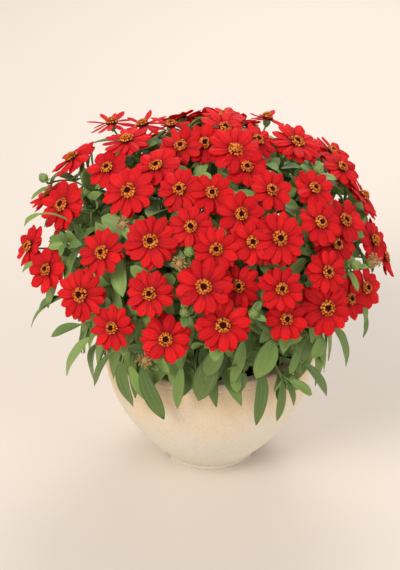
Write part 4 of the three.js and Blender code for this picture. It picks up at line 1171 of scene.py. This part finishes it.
def add_middle(stock, item, disc, size, ripe):
    """The middle of a bloom: a dark disc, rings of star florets on it, and dark tips unless it is ripe."""
    swell = disc_swell if ripe else 0
    profile = [(0, 0.0002), (disc * 0.9, 0.0002), (disc, 0.0016), (disc * 0.92, 0.0030),
               (disc * 0.7, 0.0038 + swell), (disc * 0.45, 0.0042 + 1.4 * swell),
               (disc * 0.2, 0.0044 + 1.8 * swell), (0, 0.0045 + 2 * swell)]
    add_turned(stock, profile, np.radians(np.arange(0, 360, 30)), middle_skin)
    rows = [(14, 0.92, 0.70, 0.0040), (11, 0.60, 0.30, 0.0050 + swell)]
    if ripe:
        rows = [*rows, (6, 0.36, 0.15, 0.0056 + 1.6 * swell), (2, 0.1, 0.0, 0.0058 + 2 * swell)]
    for ring, (count, share, lean, height) in enumerate(rows):
        for k in range(count):
            own = item * 60 + ring * 20 + k
            turn = 2 * math.pi * (k + 0.5 * vary(own, 86)) / count + ring * 0.2
            reach = disc * share * drawn(0.90, 1.08, own, 87)
            place = np.array(round_point(reach, turn, height + 0.0008 * vary(own, 88)))
            own_size = drawn(0.0016, 0.0023, own, 89) * size
            add_floret(stock, own, place, lean * drawn(0.7, 1.3, own, 77), turn, own_size)
    for k in range(0 if ripe else 15):
        foot = np.array(round_point(disc * 0.40 * math.sqrt((k + 0.3) / 15), k * golden_turn, 0.0040))
        tip = foot * np.array([1.15, 1.15, 1]) + np.array([0, 0, drawn(0.0011, 0.0019, item * 20 + k, 90)])
        add_stem(stock, [foot, foot * 0.4 + tip * 0.6, tip], [0.00055, 0.0005, 0.00012], 5, middle_skin)


def make_bloom(bloom):
    """One bloom facing up, at the origin: an upper and a lower row of petals and the middle."""
    stock, item, radius = Stock(), bloom["id"], bloom["radius"]
    spot = seen[item] if item < len(seen) else dict(ripe=vary(item, 79) < 0.25)
    full, worn, ripe = [spot.get(trait, False) for trait in ("full", "worn", "ripe")]
    petals = int(drawn(8.6, 11.9, item, 80)) + (2 if radius > wide_bloom else 0)
    step = 2 * math.pi / petals
    droop = drawn(0.0, 0.2, item, 81)
    for k in range(petals):
        own = item * 40 + k
        reach = radius * drawn(0.97, 1.09, own, 82)
        turn = bloom["spin"] + step * (k + drawn(-0.16, 0.16, own, 83))
        width = 2 * math.pi * 0.66 * radius / petals * drawn(1.06, 1.3, own, 84) * (worn_width if worn else 1)
        lift = bloom["cup"] + droop + drawn(-0.09, 0.07, own, 85) * (worn_spread if worn else 1)
        level = 0.0010 + (0.0012 if k % 2 else 0)
        add_petal(stock, own, turn, petal_root * radius, reach, width, lift, droop, level)
    lower = petals - 1 if full else int(drawn(3, 7.99, item, 78))
    for k in range(0 if worn else lower):
        own = item * 40 + 20 + k
        reach = radius * drawn(0.96, 1.12, own, 82)
        turn = bloom["spin"] + step * (round(k * petals / lower) + 0.5 + drawn(-0.2, 0.2, own, 83))
        width = 0.40 * radius * drawn(0.85, 1.1, own, 84)
        lift = bloom["cup"] - drawn(0.04, 0.16, own, 85)
        add_petal(stock, own, turn, lower_root * radius, reach, width, lift, 0.06, 0.0003, 7, 5)
    add_middle(stock, item, disc_share * radius, radius / 0.026, ripe)
    return stock


bloom_nodes = {name: np.array([tuple(vertex.co) for vertex in part.data.vertices])
               for name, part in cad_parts.items() if name.startswith("bloom")}
held = {name: [] for name in bloom_nodes}
for bloom in blooms:
    crater = np.array(bloom["place"] + bloom["normal"] * crater_height)
    nearest = min(bloom_nodes, key=lambda name: np.linalg.norm(bloom_nodes[name] - crater, axis=1).min())
    held[nearest].append(bloom)
for name, members in held.items():
    stock = Stock()
    for bloom in members:
        stock.absorb(make_bloom(bloom), turn_to(bloom["normal"]), np.array(bloom["place"]))
    scarlet = make_piece(f"scarlet_{name}", stock, bloom_finishes)
    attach(scarlet, "root")
    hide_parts(name)

# Floor: plain and pale, a little warm, as staging for the shadow at the foot.
# It is a single flat face and no part of the object.
floor_reach = 4
pale_floor, tree, shader = new_finish("pale_floor", 0.7)
shader.inputs["Base Color"].default_value = colour(224, 211, 198)
floor_mesh = bpy.data.meshes.new("floor")
floor_corners = [(x * floor_reach, y * floor_reach, 0) for x, y in ((-1, -1), (1, -1), (1, 1), (-1, 1))]
floor_mesh.from_pydata(floor_corners, [], [(0, 1, 2, 3)])
floor_mesh.materials.append(pale_floor)
floor = bpy.data.objects.new("floor", floor_mesh)
bpy.context.scene.collection.objects.link(floor)
